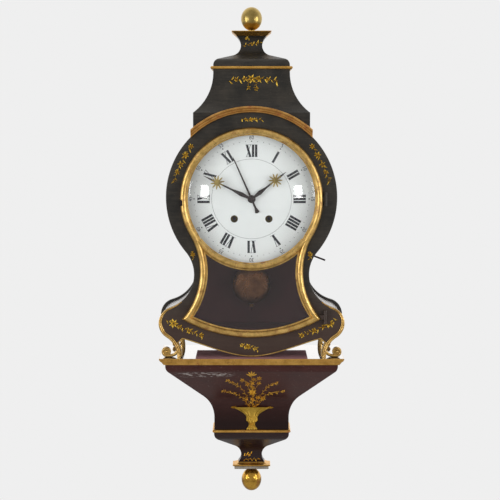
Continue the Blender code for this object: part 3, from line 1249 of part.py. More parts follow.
def build_motion_work(minute_out, hour_out):
    """The motion work behind the dial: cannon pinion, minute wheel and hour wheel, gearing twelve to one."""
    cannon, hour_pipe, _ = pipe_radii()
    centre = (0.0, DIAL_HEIGHT)
    reach = minute_wheel_reach()
    hour_module = 2 * reach / (MINUTE_PINION_TEETH + HOUR_TEETH)
    upward = 90
    thick = WHEEL_THICKNESS
    first_low = FRONT_PLATE_OUT + MOTION_CLEAR
    bore = CENTRE_ARBOR_RADIUS + SEAT_GAP
    loops = [gear(CANNON_TEETH, MOTION_MODULE, upward), circle(bore)]
    piece = flat("cannon_pinion", loops, first_low, first_low + 1.5 * thick, STEEL, centre)
    pipe_high = minute_out + HAND_THICKNESS - SEAT_GAP
    join(piece, collar("cannon_pipe", cannon, bore, first_low + thick, pipe_high, STEEL, centre))

    at = (0.0, DIAL_HEIGHT + reach)
    second_low = first_low + 2 * thick
    facing = upward + 180
    minute_loops = [gear(MINUTE_WHEEL_TEETH, MOTION_MODULE, facing + 180 / MINUTE_WHEEL_TEETH)]
    leaves = gear(MINUTE_PINION_TEETH, hour_module, facing)
    pieces = [(minute_loops, first_low, first_low + thick)]
    pieces.append(([leaves], first_low + thick / 2, second_low + 1.5 * thick))
    arbor_wheel("minute_wheel", at, (ARBOR_RADIUS, PLATES_FRONT_OUT, first_low + thick), pieces)

    loops = [gear(HOUR_TEETH, hour_module, upward + 180 / HOUR_TEETH), circle(cannon + RUN_GAP)]
    piece = flat("hour_wheel", loops, second_low, second_low + thick, BRASS, centre)
    pipe_high = hour_out + HAND_THICKNESS - SEAT_GAP
    pipe_low = second_low + thick / 2
    join(piece, collar("hour_pipe", hour_pipe, cannon + RUN_GAP, pipe_low, pipe_high, BRASS, centre))


def build_escapement(escape_low, escape):
    """Anchor with crutch, and the pendulum that hangs from the back cock on a suspension strip."""
    pivot = (0.0, PALLET_HEIGHT)
    drop = escape[1] - PALLET_RISE
    pallet = ESCAPE_RADIUS + PALLET_CLEAR
    inner = pallet + PALLET_DEPTH
    outer = inner + ANCHOR_BAND
    middle = (0, drop)
    left, right = 90 + ANCHOR_HALF_ANGLE, 90 - ANCHOR_HALF_ANGLE
    band = arc(middle, outer, right, left, 10) + arc(middle, pallet, left, left - PALLET_ANGLE, 1)
    band += arc(middle, inner, left - PALLET_ANGLE, right + PALLET_ANGLE, 8)
    band += arc(middle, pallet, right + PALLET_ANGLE, right, 1)
    high = escape_low + WHEEL_THICKNESS
    anchor = flat("anchor", [band], escape_low, high, STEEL, pivot)
    stem_foot = drop + inner + ANCHOR_BAND / 2
    half = ANCHOR_STEM_HALF
    stem = [(-half, stem_foot), (half, stem_foot), (half, 0), (-half, 0)]
    crutch_high = BACK_PLATE_OUT - 2 * RUN_GAP
    crutch_low = crutch_high - WHEEL_THICKNESS
    join(anchor, flat("anchor_stem", [stem], escape_low, high, STEEL, pivot))
    join(anchor, rod("anchor_arbor", ARBOR_RADIUS, crutch_low, FRONT_PLATE_OUT, STEEL, pivot))
    fork_gap = PENDULUM_ROD_RADIUS + SEAT_GAP
    prong = fork_gap + WHEEL_THICKNESS
    foot = PALLET_HEIGHT - CRUTCH_LENGTH
    crutch_top = (prong, crutch_high, PALLET_HEIGHT + CRUTCH_RISE)
    join(anchor, box("crutch", (-prong, crutch_low, foot), crutch_top, STEEL))
    for side in (-1, 1):
        near, far = sorted((side * fork_gap, side * prong))
        low_corner = (near, PENDULUM_OUT - PENDULUM_ROD_RADIUS, foot)
        join(anchor, box(f"fork_{side + 1}", low_corner, (far, crutch_high, foot + FORK_HEIGHT), STEEL))

    strip_half = SUSPENSION_THICKNESS / 2
    low_corner = (-strip_half, PENDULUM_OUT - SUSPENSION_DEPTH / 2, PALLET_HEIGHT - 1.5 * SUSPENSION_RISE)
    high_corner = (strip_half, PENDULUM_OUT + SUSPENSION_DEPTH / 2, PALLET_HEIGHT + SUSPENSION_RISE)
    pendulum = box("pendulum_rod", low_corner, high_corner, STEEL)
    foot = BOB_HEIGHT - BOB_RADIUS - 2 * RATING_NUT_HEIGHT
    top = PALLET_HEIGHT - SUSPENSION_RISE
    r = PENDULUM_ROD_RADIUS
    bar = [(0, top), (r, top), (r, foot), (0, foot)]
    join(pendulum, turned("rod", bar, STEEL, (0, -PENDULUM_OUT, 0), upright=True, steps=12))

    t = BOB_THICKNESS / 2
    turns = [math.pi * i / 7 for i in range(8)]
    lens = [(BOB_RADIUS * math.sin(turn), PENDULUM_OUT + t * math.cos(turn)) for turn in turns]
    bob = turned("pendulum_bob", lens, BRASS, (0, 0, BOB_HEIGHT), steps=24)
    bore = r + SEAT_GAP
    hole = [(0, BOB_RADIUS * 2), (bore, BOB_RADIUS * 2), (bore, -BOB_RADIUS * 2), (0, -BOB_RADIUS * 2)]
    cut(bob, turned("bob_bore", hole, BRASS, (0, -PENDULUM_OUT, BOB_HEIGHT), upright=True, steps=12))
    high = BOB_HEIGHT - BOB_RADIUS - SEAT_GAP
    low = high - RATING_NUT_HEIGHT
    nut = [(bore, high), (RATING_NUT_RADIUS, high), (RATING_NUT_RADIUS, low), (bore, low)]
    turned("rating_nut", nut, BRASS, (0, -PENDULUM_OUT, 0), ring=True, upright=True, steps=16)

    foot = PALLET_HEIGHT + COCK_RISE
    low_corner = (-COCK_HALF, PENDULUM_OUT - SUSPENSION_DEPTH, foot)
    cock = box("back_cock", low_corner, (COCK_HALF, BACK_PLATE_OUT - SEAT_GAP, foot + COCK_HEIGHT), BRASS)
    slot = COCK_SLOT_HALF
    slot_depth = SUSPENSION_DEPTH / 2 + SEAT_GAP
    slot_low = (-slot, PENDULUM_OUT - slot_depth, foot - COCK_HEIGHT)
    slot_high = (slot, PENDULUM_OUT + slot_depth, PALLET_HEIGHT + SUSPENSION_RISE + SEAT_GAP)
    cut(cock, box("cock_slot", slot_low, slot_high, BRASS))


def build_strike():
    """Bell on its standard above the plates, the hammer, and the pull lever that leaves the case."""
    bell_out = (PLATES_FRONT_OUT + PLATES_BACK_OUT) / 2
    mouth = DIAL_HEIGHT + PLATE_RISE + BELL_MOUTH_RISE
    r, h, wall = BELL_RADIUS, BELL_HEIGHT, BELL_WALL
    bore = BELL_ROD_RADIUS + SEAT_GAP
    outside = [(bore, h), (0.45 * r, h), (0.72 * r, 0.85 * h), (0.86 * r, 0.35 * h), (r, 0)]
    inside = [(r - wall, 0), (0.86 * r - wall, 0.35 * h), (0.70 * r - wall, 0.80 * h)]
    inside += [(0.43 * r, h - wall), (bore, h - wall)]
    turned("bell", outside + inside, BELL_METAL, (0, -bell_out, mouth), ring=True, upright=True, steps=20)

    rise = mouth + h + BELL_ROD_RISE
    side_x = BELL_RADIUS + BELL_ROD_SIDE
    start_out = BACK_PLATE_OUT - BELL_ROD_RADIUS - SEAT_GAP
    bend = BELL_ROD_BEND
    rod_foot = DIAL_HEIGHT + PLATE_RISE - BELL_ROD_FOOT
    route = [(-side_x, start_out, rod_foot), (-side_x, start_out, rise - bend)]
    route.append((-side_x + 0.5 * bend, start_out + 0.6 * bend, rise - 0.2 * bend))
    route.append((-side_x + 1.5 * bend, start_out + 1.2 * bend, rise))
    route.append((-0.8 * bend, bell_out - 0.6 * bend, rise))
    route += [(-0.2 * bend, bell_out - 0.1 * bend, rise - 0.2 * bend), (0, bell_out, rise - 0.5 * bend)]
    route.append((0, bell_out, mouth + h - wall - BELL_ROD_TIP))
    tube("bell_standard", route, BELL_ROD_RADIUS, STEEL)

    at = (HAMMER_HALF, DIAL_HEIGHT + HAMMER_RISE)
    strike_height = mouth + HAMMER_STRIKE_RISE
    hammer = rod("hammer", ARBOR_RADIUS, BACK_PLATE_OUT, FRONT_PLATE_OUT, STEEL, at)
    arm = HAMMER_ARM / 2
    arm_low = (HAMMER_HALF - arm, bell_out - arm, at[1])
    join(hammer, box("hammer_arm", arm_low, (HAMMER_HALF + arm, bell_out + arm, strike_height + arm), STEEL))
    head_x = BELL_RADIUS + HAMMER_HEAD_RADIUS * 0.4
    head = HAMMER_HEAD_RADIUS
    head_low = (head_x, bell_out - head, strike_height - head)
    head_high = (HAMMER_HALF + arm, bell_out + head, strike_height + head)
    join(hammer, box("hammer_head", head_low, head_high, STEEL))

    pivot = (LEVER_PIVOT_HALF, DIAL_HEIGHT - LEVER_PIVOT_DROP)
    out = WALL_FRONT_OUT - 2 * LEVER_RADIUS - 2 * RUN_GAP
    hub_low = FRONT_PLATE_OUT + SEAT_GAP
    lever = rod("pull_lever", LEVER_HUB_RADIUS, hub_low, out + LEVER_RADIUS, STEEL, pivot, sides=16)
    join(lever, rod("lever_pin", ARBOR_RADIUS, PLATES_FRONT_OUT, hub_low + LEVER_RADIUS, STEEL, pivot))
    wall_x = WAIST_HALF + WALL_THICKNESS
    inner_x = wall_x - LEVER_INNER_REACH
    slope = (LEVER_WALL_HEIGHT - LEVER_TIP_HEIGHT) / (LEVER_TIP_HALF - wall_x)
    inner = LEVER_WALL_HEIGHT + slope * (wall_x - inner_x)
    sag = LEVER_RADIUS / 2
    bend = ((pivot[0] + 2 * inner_x) / 3, out, (pivot[1] + 2 * inner) / 3 + sag)
    route = [(pivot[0] + sag, out, pivot[1] - sag), bend, (inner_x, out, inner)]
    route.append((LEVER_TIP_HALF, out, LEVER_TIP_HEIGHT))
    local = [(x - pivot[0], y, z - pivot[1]) for x, y, z in route]
    join(lever, tube("lever_arm", local, LEVER_RADIUS, STEEL, (pivot[0], 0, pivot[1])))


build_bracket()
build_case()
build_door()
build_cap()
build_dial()
minute_hand_out, hour_hand_out, arbor_tip = build_hands()
build_plates()
escape_wheel_low, escape_centre = build_train(arbor_tip)
build_motion_work(minute_hand_out, hour_hand_out)
build_escapement(escape_wheel_low, escape_centre)
build_strike()
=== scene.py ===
# %% [markdown]
# # A bracket clock in black lacquer and gold leaf
# The clock is a violin-shaped wooden case with a lift-off cap, standing on its own wall bracket. The packed
# CAD model is loaded first and stays as it is. It says where every piece sits and what it moves with. Each
# later step replaces one plain solid with a finer surface, or gives it a better finish.

# %% Load the fixed frame
import json
import math

import bmesh
import bpy
import numpy as np
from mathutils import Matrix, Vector
from mathutils.geometry import delaunay_2d_cdt


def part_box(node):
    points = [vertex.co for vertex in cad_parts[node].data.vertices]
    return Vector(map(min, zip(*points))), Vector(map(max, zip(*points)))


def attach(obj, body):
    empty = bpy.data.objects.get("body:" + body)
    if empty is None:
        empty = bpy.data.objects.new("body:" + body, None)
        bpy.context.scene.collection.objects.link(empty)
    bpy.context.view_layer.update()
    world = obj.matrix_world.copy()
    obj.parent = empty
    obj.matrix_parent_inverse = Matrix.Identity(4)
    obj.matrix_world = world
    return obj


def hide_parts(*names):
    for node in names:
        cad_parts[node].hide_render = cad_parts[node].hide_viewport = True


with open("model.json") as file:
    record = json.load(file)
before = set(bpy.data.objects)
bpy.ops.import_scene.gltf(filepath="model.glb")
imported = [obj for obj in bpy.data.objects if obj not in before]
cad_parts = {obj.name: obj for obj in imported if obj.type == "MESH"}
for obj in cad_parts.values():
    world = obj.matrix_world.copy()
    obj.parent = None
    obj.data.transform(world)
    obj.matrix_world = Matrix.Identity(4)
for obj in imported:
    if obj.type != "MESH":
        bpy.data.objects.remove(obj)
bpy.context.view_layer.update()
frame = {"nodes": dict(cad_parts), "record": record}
SHELF_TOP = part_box("bracket_shelf")[1].z
print("shelf top at", round(SHELF_TOP, 4))

# %% [markdown]
# ## Camera
# The photograph was taken from about three metres, a little above the middle of the clock, and looks
# slightly down. A long lens keeps the sides nearly parallel. The numbers follow from how the straight edges
# of the shelf and the cap lean in the picture.

# %% Camera
LENS_MM, SENSOR_MM = 108.0, 36.0
CAMERA_X, CAMERA_OUT, CAMERA_ABOVE_SHELF = -0.003, 3.008, 0.454
CAMERA_TILT = 4.953  # degrees below level
lens = bpy.data.cameras.new("studio_camera")
lens.lens, lens.sensor_width = LENS_MM, SENSOR_MM
camera = bpy.data.objects.new("studio_camera", lens)
camera.location = (CAMERA_X, -CAMERA_OUT, SHELF_TOP + CAMERA_ABOVE_SHELF)
camera.rotation_euler = (math.radians(90 - CAMERA_TILT), 0, 0)
bpy.context.scene.collection.objects.link(camera)
bpy.context.scene.camera = camera
print("camera at", tuple(round(v, 3) for v in camera.location))

# %% [markdown]
# ## Tools for surfaces
# Nearly every piece of this clock was run along a line with a moulding plane, turned on a lathe, or sawn
# from a board. So three ways to make a surface are enough: carry a profile along a path, turn a profile
# about an axis, and fill a flat outline. Each works on whole numpy arrays, and a grid of points becomes a
# mesh by counting. Heights are counted from the shelf, and "out" is the distance forwards from the wall.


# %% Grids and meshes
def standing(x, out, height):
    """Points in the clock's frame: x to the right, out forwards from the wall, height up from the shelf."""
    x, out, height = np.broadcast_arrays(x, out, height)
    return np.stack([x, -out, SHELF_TOP + height], axis=-1)


def grid(points, rows_close=False, columns_close=True, caps=True):
    """A sheet of quads through a (rows, columns, 3) array: every point joins the next ones beside it."""
    rows, columns = points.shape[:2]
    row_starts, column_starts = np.arange(rows - (not rows_close)), np.arange(columns - (not columns_close))
    r, c = np.meshgrid(row_starts, column_starts, indexing="ij")
    r2, c2 = (r + 1) % rows, (c + 1) % columns
    quads = np.stack([r * columns + c, r * columns + c2, r2 * columns + c2, r2 * columns + c], axis=-1)
    faces = quads.reshape(-1, 4).tolist()
    if caps and columns_close and not rows_close:
        faces += [list(range(columns)), list(range((rows - 1) * columns, rows * columns))]
    return points.reshape(-1, 3), faces


WELD = 2e-6  # points of one piece closer than this are one point


def piece(name, shells, material, body, nodes=(), sharp=35):
    """One object from several sheets: welded, turned to face outwards, and smooth but for its real edges."""
    solid = bmesh.new()
    for points, faces in shells:
        mesh = bpy.data.meshes.new(name)
        mesh.from_pydata(np.asarray(points).tolist(), [], faces)
        solid.from_mesh(mesh)
        bpy.data.meshes.remove(mesh)
    bmesh.ops.remove_doubles(solid, verts=solid.verts, dist=WELD)
    bmesh.ops.recalc_face_normals(solid, faces=solid.faces)
    mesh = bpy.data.meshes.new(name)
    solid.to_mesh(mesh)
    solid.free()
    mesh.shade_smooth()
    mesh.set_sharp_from_angle(angle=math.radians(sharp))
    mesh.materials.append(material)
    made = bpy.data.objects.new(name, mesh)
    bpy.context.scene.collection.objects.link(made)
    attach(made, body)
    if nodes:
        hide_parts(*nodes)
    print(f"{name}: {len(mesh.polygons)} faces on {body}")


# %% Lines and profiles
def arc(centre, radius, start, end, steps):
    """Points of a circle in the front view, with angles in degrees anticlockwise from the right."""
    turn = np.radians(np.linspace(start, end, steps + 1))
    return np.stack([centre[0] + radius * np.cos(turn), centre[1] + radius * np.sin(turn)], axis=-1)


def bearing(start, end):
    """Angle in degrees of the line between two points."""
    return math.degrees(math.atan2(end[1] - start[1], end[0] - start[0]))


def both_sides(right):
    """A right-hand run of points from the top to the bottom, closed by its mirror image."""
    return np.concatenate([right, right[-2:0:-1] * (-1, 1)])


def carried(path, profile, closed):
    """Carry a profile of (u, v) points along a flat path and mitre it at every bend.

    u lies to the right of travel. At a bend the sum of the two normals, divided by one plus their product,
    keeps both sides parallel to their lines. The result is an array of (first, second, v) points.
    """
    step = np.roll(path, -1, axis=0) - path
    if not closed:
        step[-1] = step[-2]
    normal = np.stack([step[:, 1], -step[:, 0]], axis=-1) / np.linalg.norm(step, axis=1, keepdims=True)
    before = np.roll(normal, 1, axis=0)
    if not closed:
        before[0] = normal[0]
    across = (before + normal) / (1 + np.sum(before * normal, axis=1, keepdims=True))
    flat = path[:, None, :] + across[:, None, :] * profile[..., :1]
    return np.concatenate([flat, np.broadcast_to(profile[..., 1:], flat.shape[:2] + (1,))], axis=-1)


def facing(run, side=1):
    """Points of the clock from an array of (x, height, out), or their mirror image for side -1."""
    return standing(side * run[..., 0], run[..., 2], run[..., 1])


def turned(profile, centre, sides=96, forwards=True):
    """Turn a profile of (radius, along) points about an axis through the centre, forwards or upright."""
    turn = np.radians(np.arange(sides) * 360 / sides)
    radius, along = profile[:, :1], profile[:, 1:]
    if forwards:
        return standing(centre[0] + radius * np.cos(turn), along, centre[1] + radius * np.sin(turn))
    return standing(centre[0] + radius * np.cos(turn), centre[1] + radius * np.sin(turn), centre[2] + along)


# %% Flat boards
def inside(points, loops):
    """True for points within the loops: a line from one to the right crosses them an odd number of times."""
    odd = np.zeros(len(points), bool)
    for loop in loops:
        a, b = loop, np.roll(loop, -1, axis=0)
        spans = (a[:, 1] > points[:, 1:]) != (b[:, 1] > points[:, 1:])
        rise = np.where(b[:, 1] == a[:, 1], 1.0, b[:, 1] - a[:, 1])
        met = a[:, 0] + (points[:, 1:] - a[:, 1]) / rise * (b[:, 0] - a[:, 0])
        odd ^= np.count_nonzero(spans & (met > points[:, :1]), axis=1) % 2 == 1
    return odd


def filled(loops, inner_points=()):
    """Triangles that fill flat loops and leave their holes open, by a constrained Delaunay triangulation."""
    starts = np.cumsum([0] + [len(loop) for loop in loops])
    edges = [(s + i, s + (i + 1) % len(loop)) for s, loop in zip(starts, loops) for i in range(len(loop))]
    points = np.concatenate([*loops, np.reshape(inner_points, (-1, 2))])
    flat, _, faces = delaunay_2d_cdt([Vector(p) for p in points], edges, [], 0, 1e-8)[:3]
    flat, faces = np.array(flat), np.array(faces)
    return flat, faces[inside(flat[faces].mean(axis=1), loops)]


def board(loops, low_out, high_out, easing):
    """A sawn board: two filled faces joined by edges that are eased to a quarter circle at both corners.

    Every loop runs clockwise round the wood, so that the wood lies to its right.
    """
    corner = np.radians(np.linspace(0, 90, 5))
    front = np.stack([easing * (1 - np.cos(corner)), high_out - easing * (1 - np.sin(corner))], axis=-1)
    back = front[::-1] * (1, -1) + (0, low_out + high_out)
    profile = np.concatenate([back, front])
    shells, inner = [], []
    for loop in loops:
        band = carried(loop, profile, True)
        shells.append(grid(facing(band), True, False))
        inner.append(band[:, 0, :2])
    flat, faces = filled(inner)
    shells.append((standing(flat[:, 0], high_out, flat[:, 1]), faces.tolist()))
    shells.append((standing(flat[:, 0], low_out, flat[:, 1]), faces.tolist()))
    return shells


# %% [markdown]
# ## Finishes
# Old lacquer is never one black: it is thin and brownish where it was rubbed, carries brush lines and dust,
# and crazes. Gold leaf wears through to the red clay under it. These two effects, the grain of metal and
# the grain of wood, are used by several materials, so each is one node group with its own inputs. The
# materials read Object coordinates, which here are metres in the clock's own frame.


# %% Node helpers
def feed(tree, socket, value):
    """Link a value to a socket, or set it there where it is a plain number or colour."""
    if isinstance(value, bpy.types.NodeSocket):
        tree.links.new(value, socket)
    else:
        socket.default_value = value


def node(tree, kind, inputs=None, **settings):
    """Add a shader node, set its options, and set or link its inputs."""
    made = tree.nodes.new("ShaderNode" + kind)
    for key, value in settings.items():
        setattr(made, key, value)
    for key, value in (inputs or {}).items():
        feed(tree, made.inputs[key], value)
    return made


def noise(tree, vector, scale, detail=3.0, roughness=0.55):
    """The value of a noise texture."""
    keys = {"Vector": vector, "Scale": scale, "Detail": detail, "Roughness": roughness}
    return node(tree, "TexNoise", keys).outputs[0]


def stretched(tree, vector, scale, turn=0.0):
    """Coordinates scaled along each axis, after a turn in the front view, so that a noise becomes streaks."""
    keys = {"Vector": vector, "Rotation": (0, turn, 0), "Scale": scale}
    return node(tree, "Mapping", keys).outputs[0]


def ramp(tree, value, low, high, to_low=0.0, to_high=1.0):
    """A value stretched from one range to another and clamped."""
    keys = {"Value": value, "From Min": low, "From Max": high, "To Min": to_low, "To Max": to_high}
    return node(tree, "MapRange", keys).outputs[0]


def maths(tree, operation, a, b=0.0):
    """One sum or product."""
    return node(tree, "Math", {0: a, 1: b}, operation=operation).outputs[0]


def mixed(tree, share, a, b):
    """A colour between two colours."""
    first, second = (c if isinstance(c, bpy.types.NodeSocket) else (*c, 1) for c in (a, b))
    return node(tree, "Mix", {0: share, 6: first, 7: second}, data_type="RGBA").outputs[2]


def effect(name, inputs, outputs):
    """An empty node group with named sockets."""
    tree = bpy.data.node_groups.new(name, "ShaderNodeTree")
    for label, kind in inputs:
        tree.interface.new_socket(label, in_out="INPUT", socket_type="NodeSocket" + kind)
    for label in outputs:
        tree.interface.new_socket(label, in_out="OUTPUT", socket_type="NodeSocketFloat")
    return tree, tree.nodes.new("NodeGroupInput").outputs, tree.nodes.new("NodeGroupOutput").inputs


# %% Lacquer: clouds and level streaks, dust, and brush lines
lacquer_age, given, gives = effect(
    "lacquer_age", [("Vector", "Vector"), ("Mottle Scale", "Float")], ["Mottle", "Specks", "Height"]
)
place = given["Vector"]
strokes = noise(lacquer_age, stretched(lacquer_age, place, (30.0, 30.0, 420.0)), 1.0, 2.0)
skin = maths(lacquer_age, "MULTIPLY", noise(lacquer_age, place, 900.0, 2.0), 0.6)
clouds = noise(lacquer_age, place, given["Mottle Scale"], 5.0, 0.6)
clouds = maths(lacquer_age, "MULTIPLY", clouds, 0.55)
rubbed = noise(lacquer_age, stretched(lacquer_age, place, (28.0, 28.0, 300.0)), 1.0, 5.0, 0.75)
rubbed = maths(lacquer_age, "MULTIPLY", rubbed, 0.45)
uneven = maths(lacquer_age, "ADD", clouds, rubbed)
dust = noise(lacquer_age, place, 620.0, 1.0)
feed(lacquer_age, gives["Mottle"], ramp(lacquer_age, uneven, 0.40, 0.62))
feed(lacquer_age, gives["Specks"], ramp(lacquer_age, dust, 0.70, 0.78))
feed(lacquer_age, gives["Height"], maths(lacquer_age, "ADD", strokes, skin))

# %% Gold leaf: bare clay, two tones, and pin holes
leaf_rub, given, gives = effect(
    "leaf_rub", [("Vector", "Vector"), ("Rub", "Float")], ["Bole", "Tone", "Pits", "Height"]
)
place = given["Vector"]
worn = maths(leaf_rub, "ADD", noise(leaf_rub, place, 75.0, 7.0, 0.7), given["Rub"])
tone = noise(leaf_rub, place, 60.0, 6.0, 0.65)
feed(leaf_rub, gives["Bole"], ramp(leaf_rub, worn, 0.60, 0.74))
feed(leaf_rub, gives["Tone"], ramp(leaf_rub, tone, 0.36, 0.64))
feed(leaf_rub, gives["Pits"], ramp(leaf_rub, noise(leaf_rub, place, 330.0, 3.0), 0.60, 0.70))
feed(leaf_rub, gives["Height"], noise(leaf_rub, place, 260.0, 4.0))

# %% Metal and wood: tarnish and file lines, grain and pores
metal_grain, given, gives = effect(
    "metal_grain", [("Vector", "Vector"), ("Scale", "Float")], ["Tarnish", "Height"]
)
place = given["Vector"]
tarnish = noise(metal_grain, place, given["Scale"], 5.0, 0.6)
filed = noise(metal_grain, stretched(metal_grain, place, (1500.0, 200.0, 1500.0)), 1.0, 2.0)
feed(metal_grain, gives["Tarnish"], ramp(metal_grain, tarnish, 0.35, 0.7))
feed(metal_grain, gives["Height"], filed)

wood_grain, given, gives = effect("wood_grain", [("Vector", "Vector")], ["Grain", "Pores"])
place = given["Vector"]
years = noise(wood_grain, stretched(wood_grain, place, (9.0, 130.0, 130.0)), 1.0, 5.0, 0.65)
fibres = noise(wood_grain, stretched(wood_grain, place, (60.0, 1400.0, 1400.0)), 1.0, 2.0)
feed(wood_grain, gives["Grain"], ramp(wood_grain, years, 0.3, 0.7))
feed(wood_grain, gives["Pores"], ramp(wood_grain, fibres, 0.55, 0.7))
print("effects:", [tree.name for tree in bpy.data.node_groups])


# %% [markdown]
# ## Materials
# Each finish is one Principled shader. What is the same all over the piece is a number on the shader's own
# socket. What changes from place to place comes from one of the shared effects: two tones, dust or bare
# clay, a roughness that goes with them, and a small height for the bump.


# %% Ways to build a finish
def finish(name, **sockets):
    """A material with its Principled shader: what is the same all over goes straight on its sockets."""
    material = bpy.data.materials.new("clock_" + name)
    material.use_nodes = True
    tree = material.node_tree
    shader = tree.nodes["Principled BSDF"]
    for key, value in sockets.items():
        label = key.replace("_", " ").title().replace("Ior", "IOR")
        shader.inputs[label].default_value = value
    return material, tree, shader, node(tree, "TexCoord").outputs["Object"]


def use(tree, group, **inputs):
    """Place a shared effect in a material."""
    made = node(tree, "Group", node_tree=group)
    for key, value in inputs.items():
        feed(tree, made.inputs[key.replace("_", " ").title()], value)
    return made.outputs


def wire(tree, shader, height=None, depth=0.0002, strength=0.3, **sockets):
    """Link changing values into the shader, and a height through a Bump node into its normal."""
    for key, value in sockets.items():
        tree.links.new(value, shader.inputs[key.replace("_", " ").title()])
    if height is not None:
        bump = node(tree, "Bump", {"Height": height, "Strength": strength, "Distance": depth})
        tree.links.new(bump.outputs[0], shader.inputs["Normal"])


def lacquer(name, dark, light, speck, scale, gloss, **sockets):
    """Old lacquer: two close tones in broad clouds, dust specks and fine brush lines."""
    material, tree, shader, place = finish(name, **{"specular_ior_level": 0.35, **sockets})
    age = use(tree, lacquer_age, vector=place, mottle_scale=scale)
    dusty = maths(tree, "MULTIPLY", age["Specks"], 0.35)
    colour = mixed(tree, dusty, mixed(tree, age["Mottle"], dark, light), speck)
    rough = ramp(tree, age["Mottle"], 0, 1, gloss, gloss + 0.1)
    wire(tree, shader, age["Height"], 0.0003, 0.12, base_color=colour, roughness=rough)
    return material


def gilding(name, gold, shade, bole, rub, polish, **sockets):
    """Burnished leaf: two gold tones, worn in patches to the red clay, with pin holes."""
    material, tree, shader, place = finish(name, **sockets)
    leaf = use(tree, leaf_rub, vector=place, rub=rub)
    colour = mixed(tree, leaf["Bole"], mixed(tree, leaf["Tone"], shade, gold), bole)
    pits = maths(tree, "MULTIPLY", leaf["Pits"], 0.5)
    colour = mixed(tree, pits, colour, tuple(0.25 * c for c in bole))
    bare = maths(tree, "MULTIPLY", leaf["Bole"], 0.75)
    rough = ramp(tree, leaf["Bole"], 0, 1, polish, polish + 0.2)
    metallic = maths(tree, "SUBTRACT", 1.0, bare)
    wire(tree, shader, leaf["Height"], 0.0003, 0.22, base_color=colour, metallic=metallic, roughness=rough)
    return material


def metal(name, bright, dull, scale, polish):
    """Plain metal: bright where it is clean, dull where it has tarnished, with fine file lines."""
    material, tree, shader, place = finish(name, metallic=1.0)
    grain = use(tree, metal_grain, vector=place, scale=scale)
    colour = mixed(tree, grain["Tarnish"], bright, dull)
    rough = ramp(tree, grain["Tarnish"], 0, 1, polish, polish + 0.15)
    wire(tree, shader, grain["Height"], 0.0001, 0.1, base_color=colour, roughness=rough)
    return material


def toned(material, low, high, colour, kept):
    """Lead a finish to another colour from one height down to another, and keep a share of the old one."""
    tree = material.node_tree
    shader = tree.nodes["Principled BSDF"]
    place = tree.nodes["Texture Coordinate"].outputs["Object"]
    height = node(tree, "SeparateXYZ", {0: place}).outputs["Z"]
    old = shader.inputs["Base Color"].links[0].from_socket
    wire(tree, shader, base_color=mixed(tree, ramp(tree, height, low, high, kept, 1.0), colour, old))
    return tree, shader, place


def scratched(material, speck):
    """Painted shade darkening downwards, and pale streaks in one patch: scuffs and a painted highlight."""
    # painted shade: the lower, downward-facing part of the bracket darkens towards the bottom
    tree, shader, place = toned(material, -0.055, 0.015, (0.0135, 0.0036, 0.0030), 0.0)
    # pale streaks along the bend below the top of the panel: scuffs and crazing, partly a painted highlight
    streaks = stretched(tree, place, (110.0, 30.0, 900.0), -0.10)
    streak = ramp(tree, noise(tree, streaks, 1.0, 3.0), 0.54, 0.60)
    x, _, z = node(tree, "SeparateXYZ", {0: place}).outputs
    across = maths(tree, "MULTIPLY", ramp(tree, x, -0.150, -0.125), ramp(tree, x, -0.030, -0.060))
    upright = maths(tree, "MULTIPLY", ramp(tree, z, 0.049, 0.053), ramp(tree, z, 0.063, 0.058))
    patch = maths(tree, "MULTIPLY", across, upright)
    old = shader.inputs["Base Color"].links[0].from_socket
    wire(tree, shader, base_color=mixed(tree, maths(tree, "MULTIPLY", patch, streak), old, speck))


def glass(name, tint, shade):
    """Old window glass: unevenly tinted, hardly rough, and clear to the rays that cast shadows."""
    material, tree, shader, place = finish(name, transmission_weight=1.0, ior=1.46)
    cloud = noise(tree, place, 14.0, 1.0)
    tone = mixed(tree, cloud, tint, tuple(0.3 + 0.7 * c for c in tint))
    wire(tree, shader, base_color=tone, roughness=ramp(tree, cloud, 0, 1, 0.0, 0.006))
    unlit = node(tree, "BsdfTransparent", {"Color": (*shade, 1)}).outputs[0]
    shadow = node(tree, "LightPath").outputs["Is Shadow Ray"]
    joined = node(tree, "MixShader", {0: shadow, 1: shader.outputs[0], 2: unlit}).outputs[0]
    tree.links.new(joined, tree.nodes["Material Output"].inputs["Surface"])
    return material


# %% Lacquers: dark tone, light tone, dust, scale of the clouds, gloss
BLACK = (0.014, 0.013, 0.011), (0.044, 0.037, 0.029), (0.20, 0.18, 0.14), 22.0, 0.38
# pale colour of the bracket's dust specks, and of its streaks of scuffs that are partly a painted highlight
PALE_SCUFF_AND_HIGHLIGHT = (0.60, 0.55, 0.52)
black_lacquer = lacquer("black_lacquer", *BLACK)
front_lacquer = lacquer("front_lacquer", *BLACK)
toned(front_lacquer, SHELF_TOP + 0.060, SHELF_TOP + 0.135, (0.080, 0.041, 0.030), 0.45)
wall_lacquer = lacquer(
    "wall_lacquer", (0.050, 0.042, 0.040), (0.070, 0.058, 0.055), (0.20, 0.18, 0.14), 22.0, 0.16,
    specular_ior_level=0.42,
)
brown_lacquer = lacquer(
    "brown_lacquer", (0.016, 0.006, 0.006), (0.030, 0.012, 0.011), (0.22, 0.17, 0.16), 18.0, 0.30
)
bracket_lacquer = lacquer(
    "bracket_lacquer", (0.046, 0.012, 0.010), (0.072, 0.022, 0.018), PALE_SCUFF_AND_HIGHLIGHT, 18.0, 0.30,
    specular_ior_level=0.24,
)
scratched(bracket_lacquer, PALE_SCUFF_AND_HIGHLIGHT)
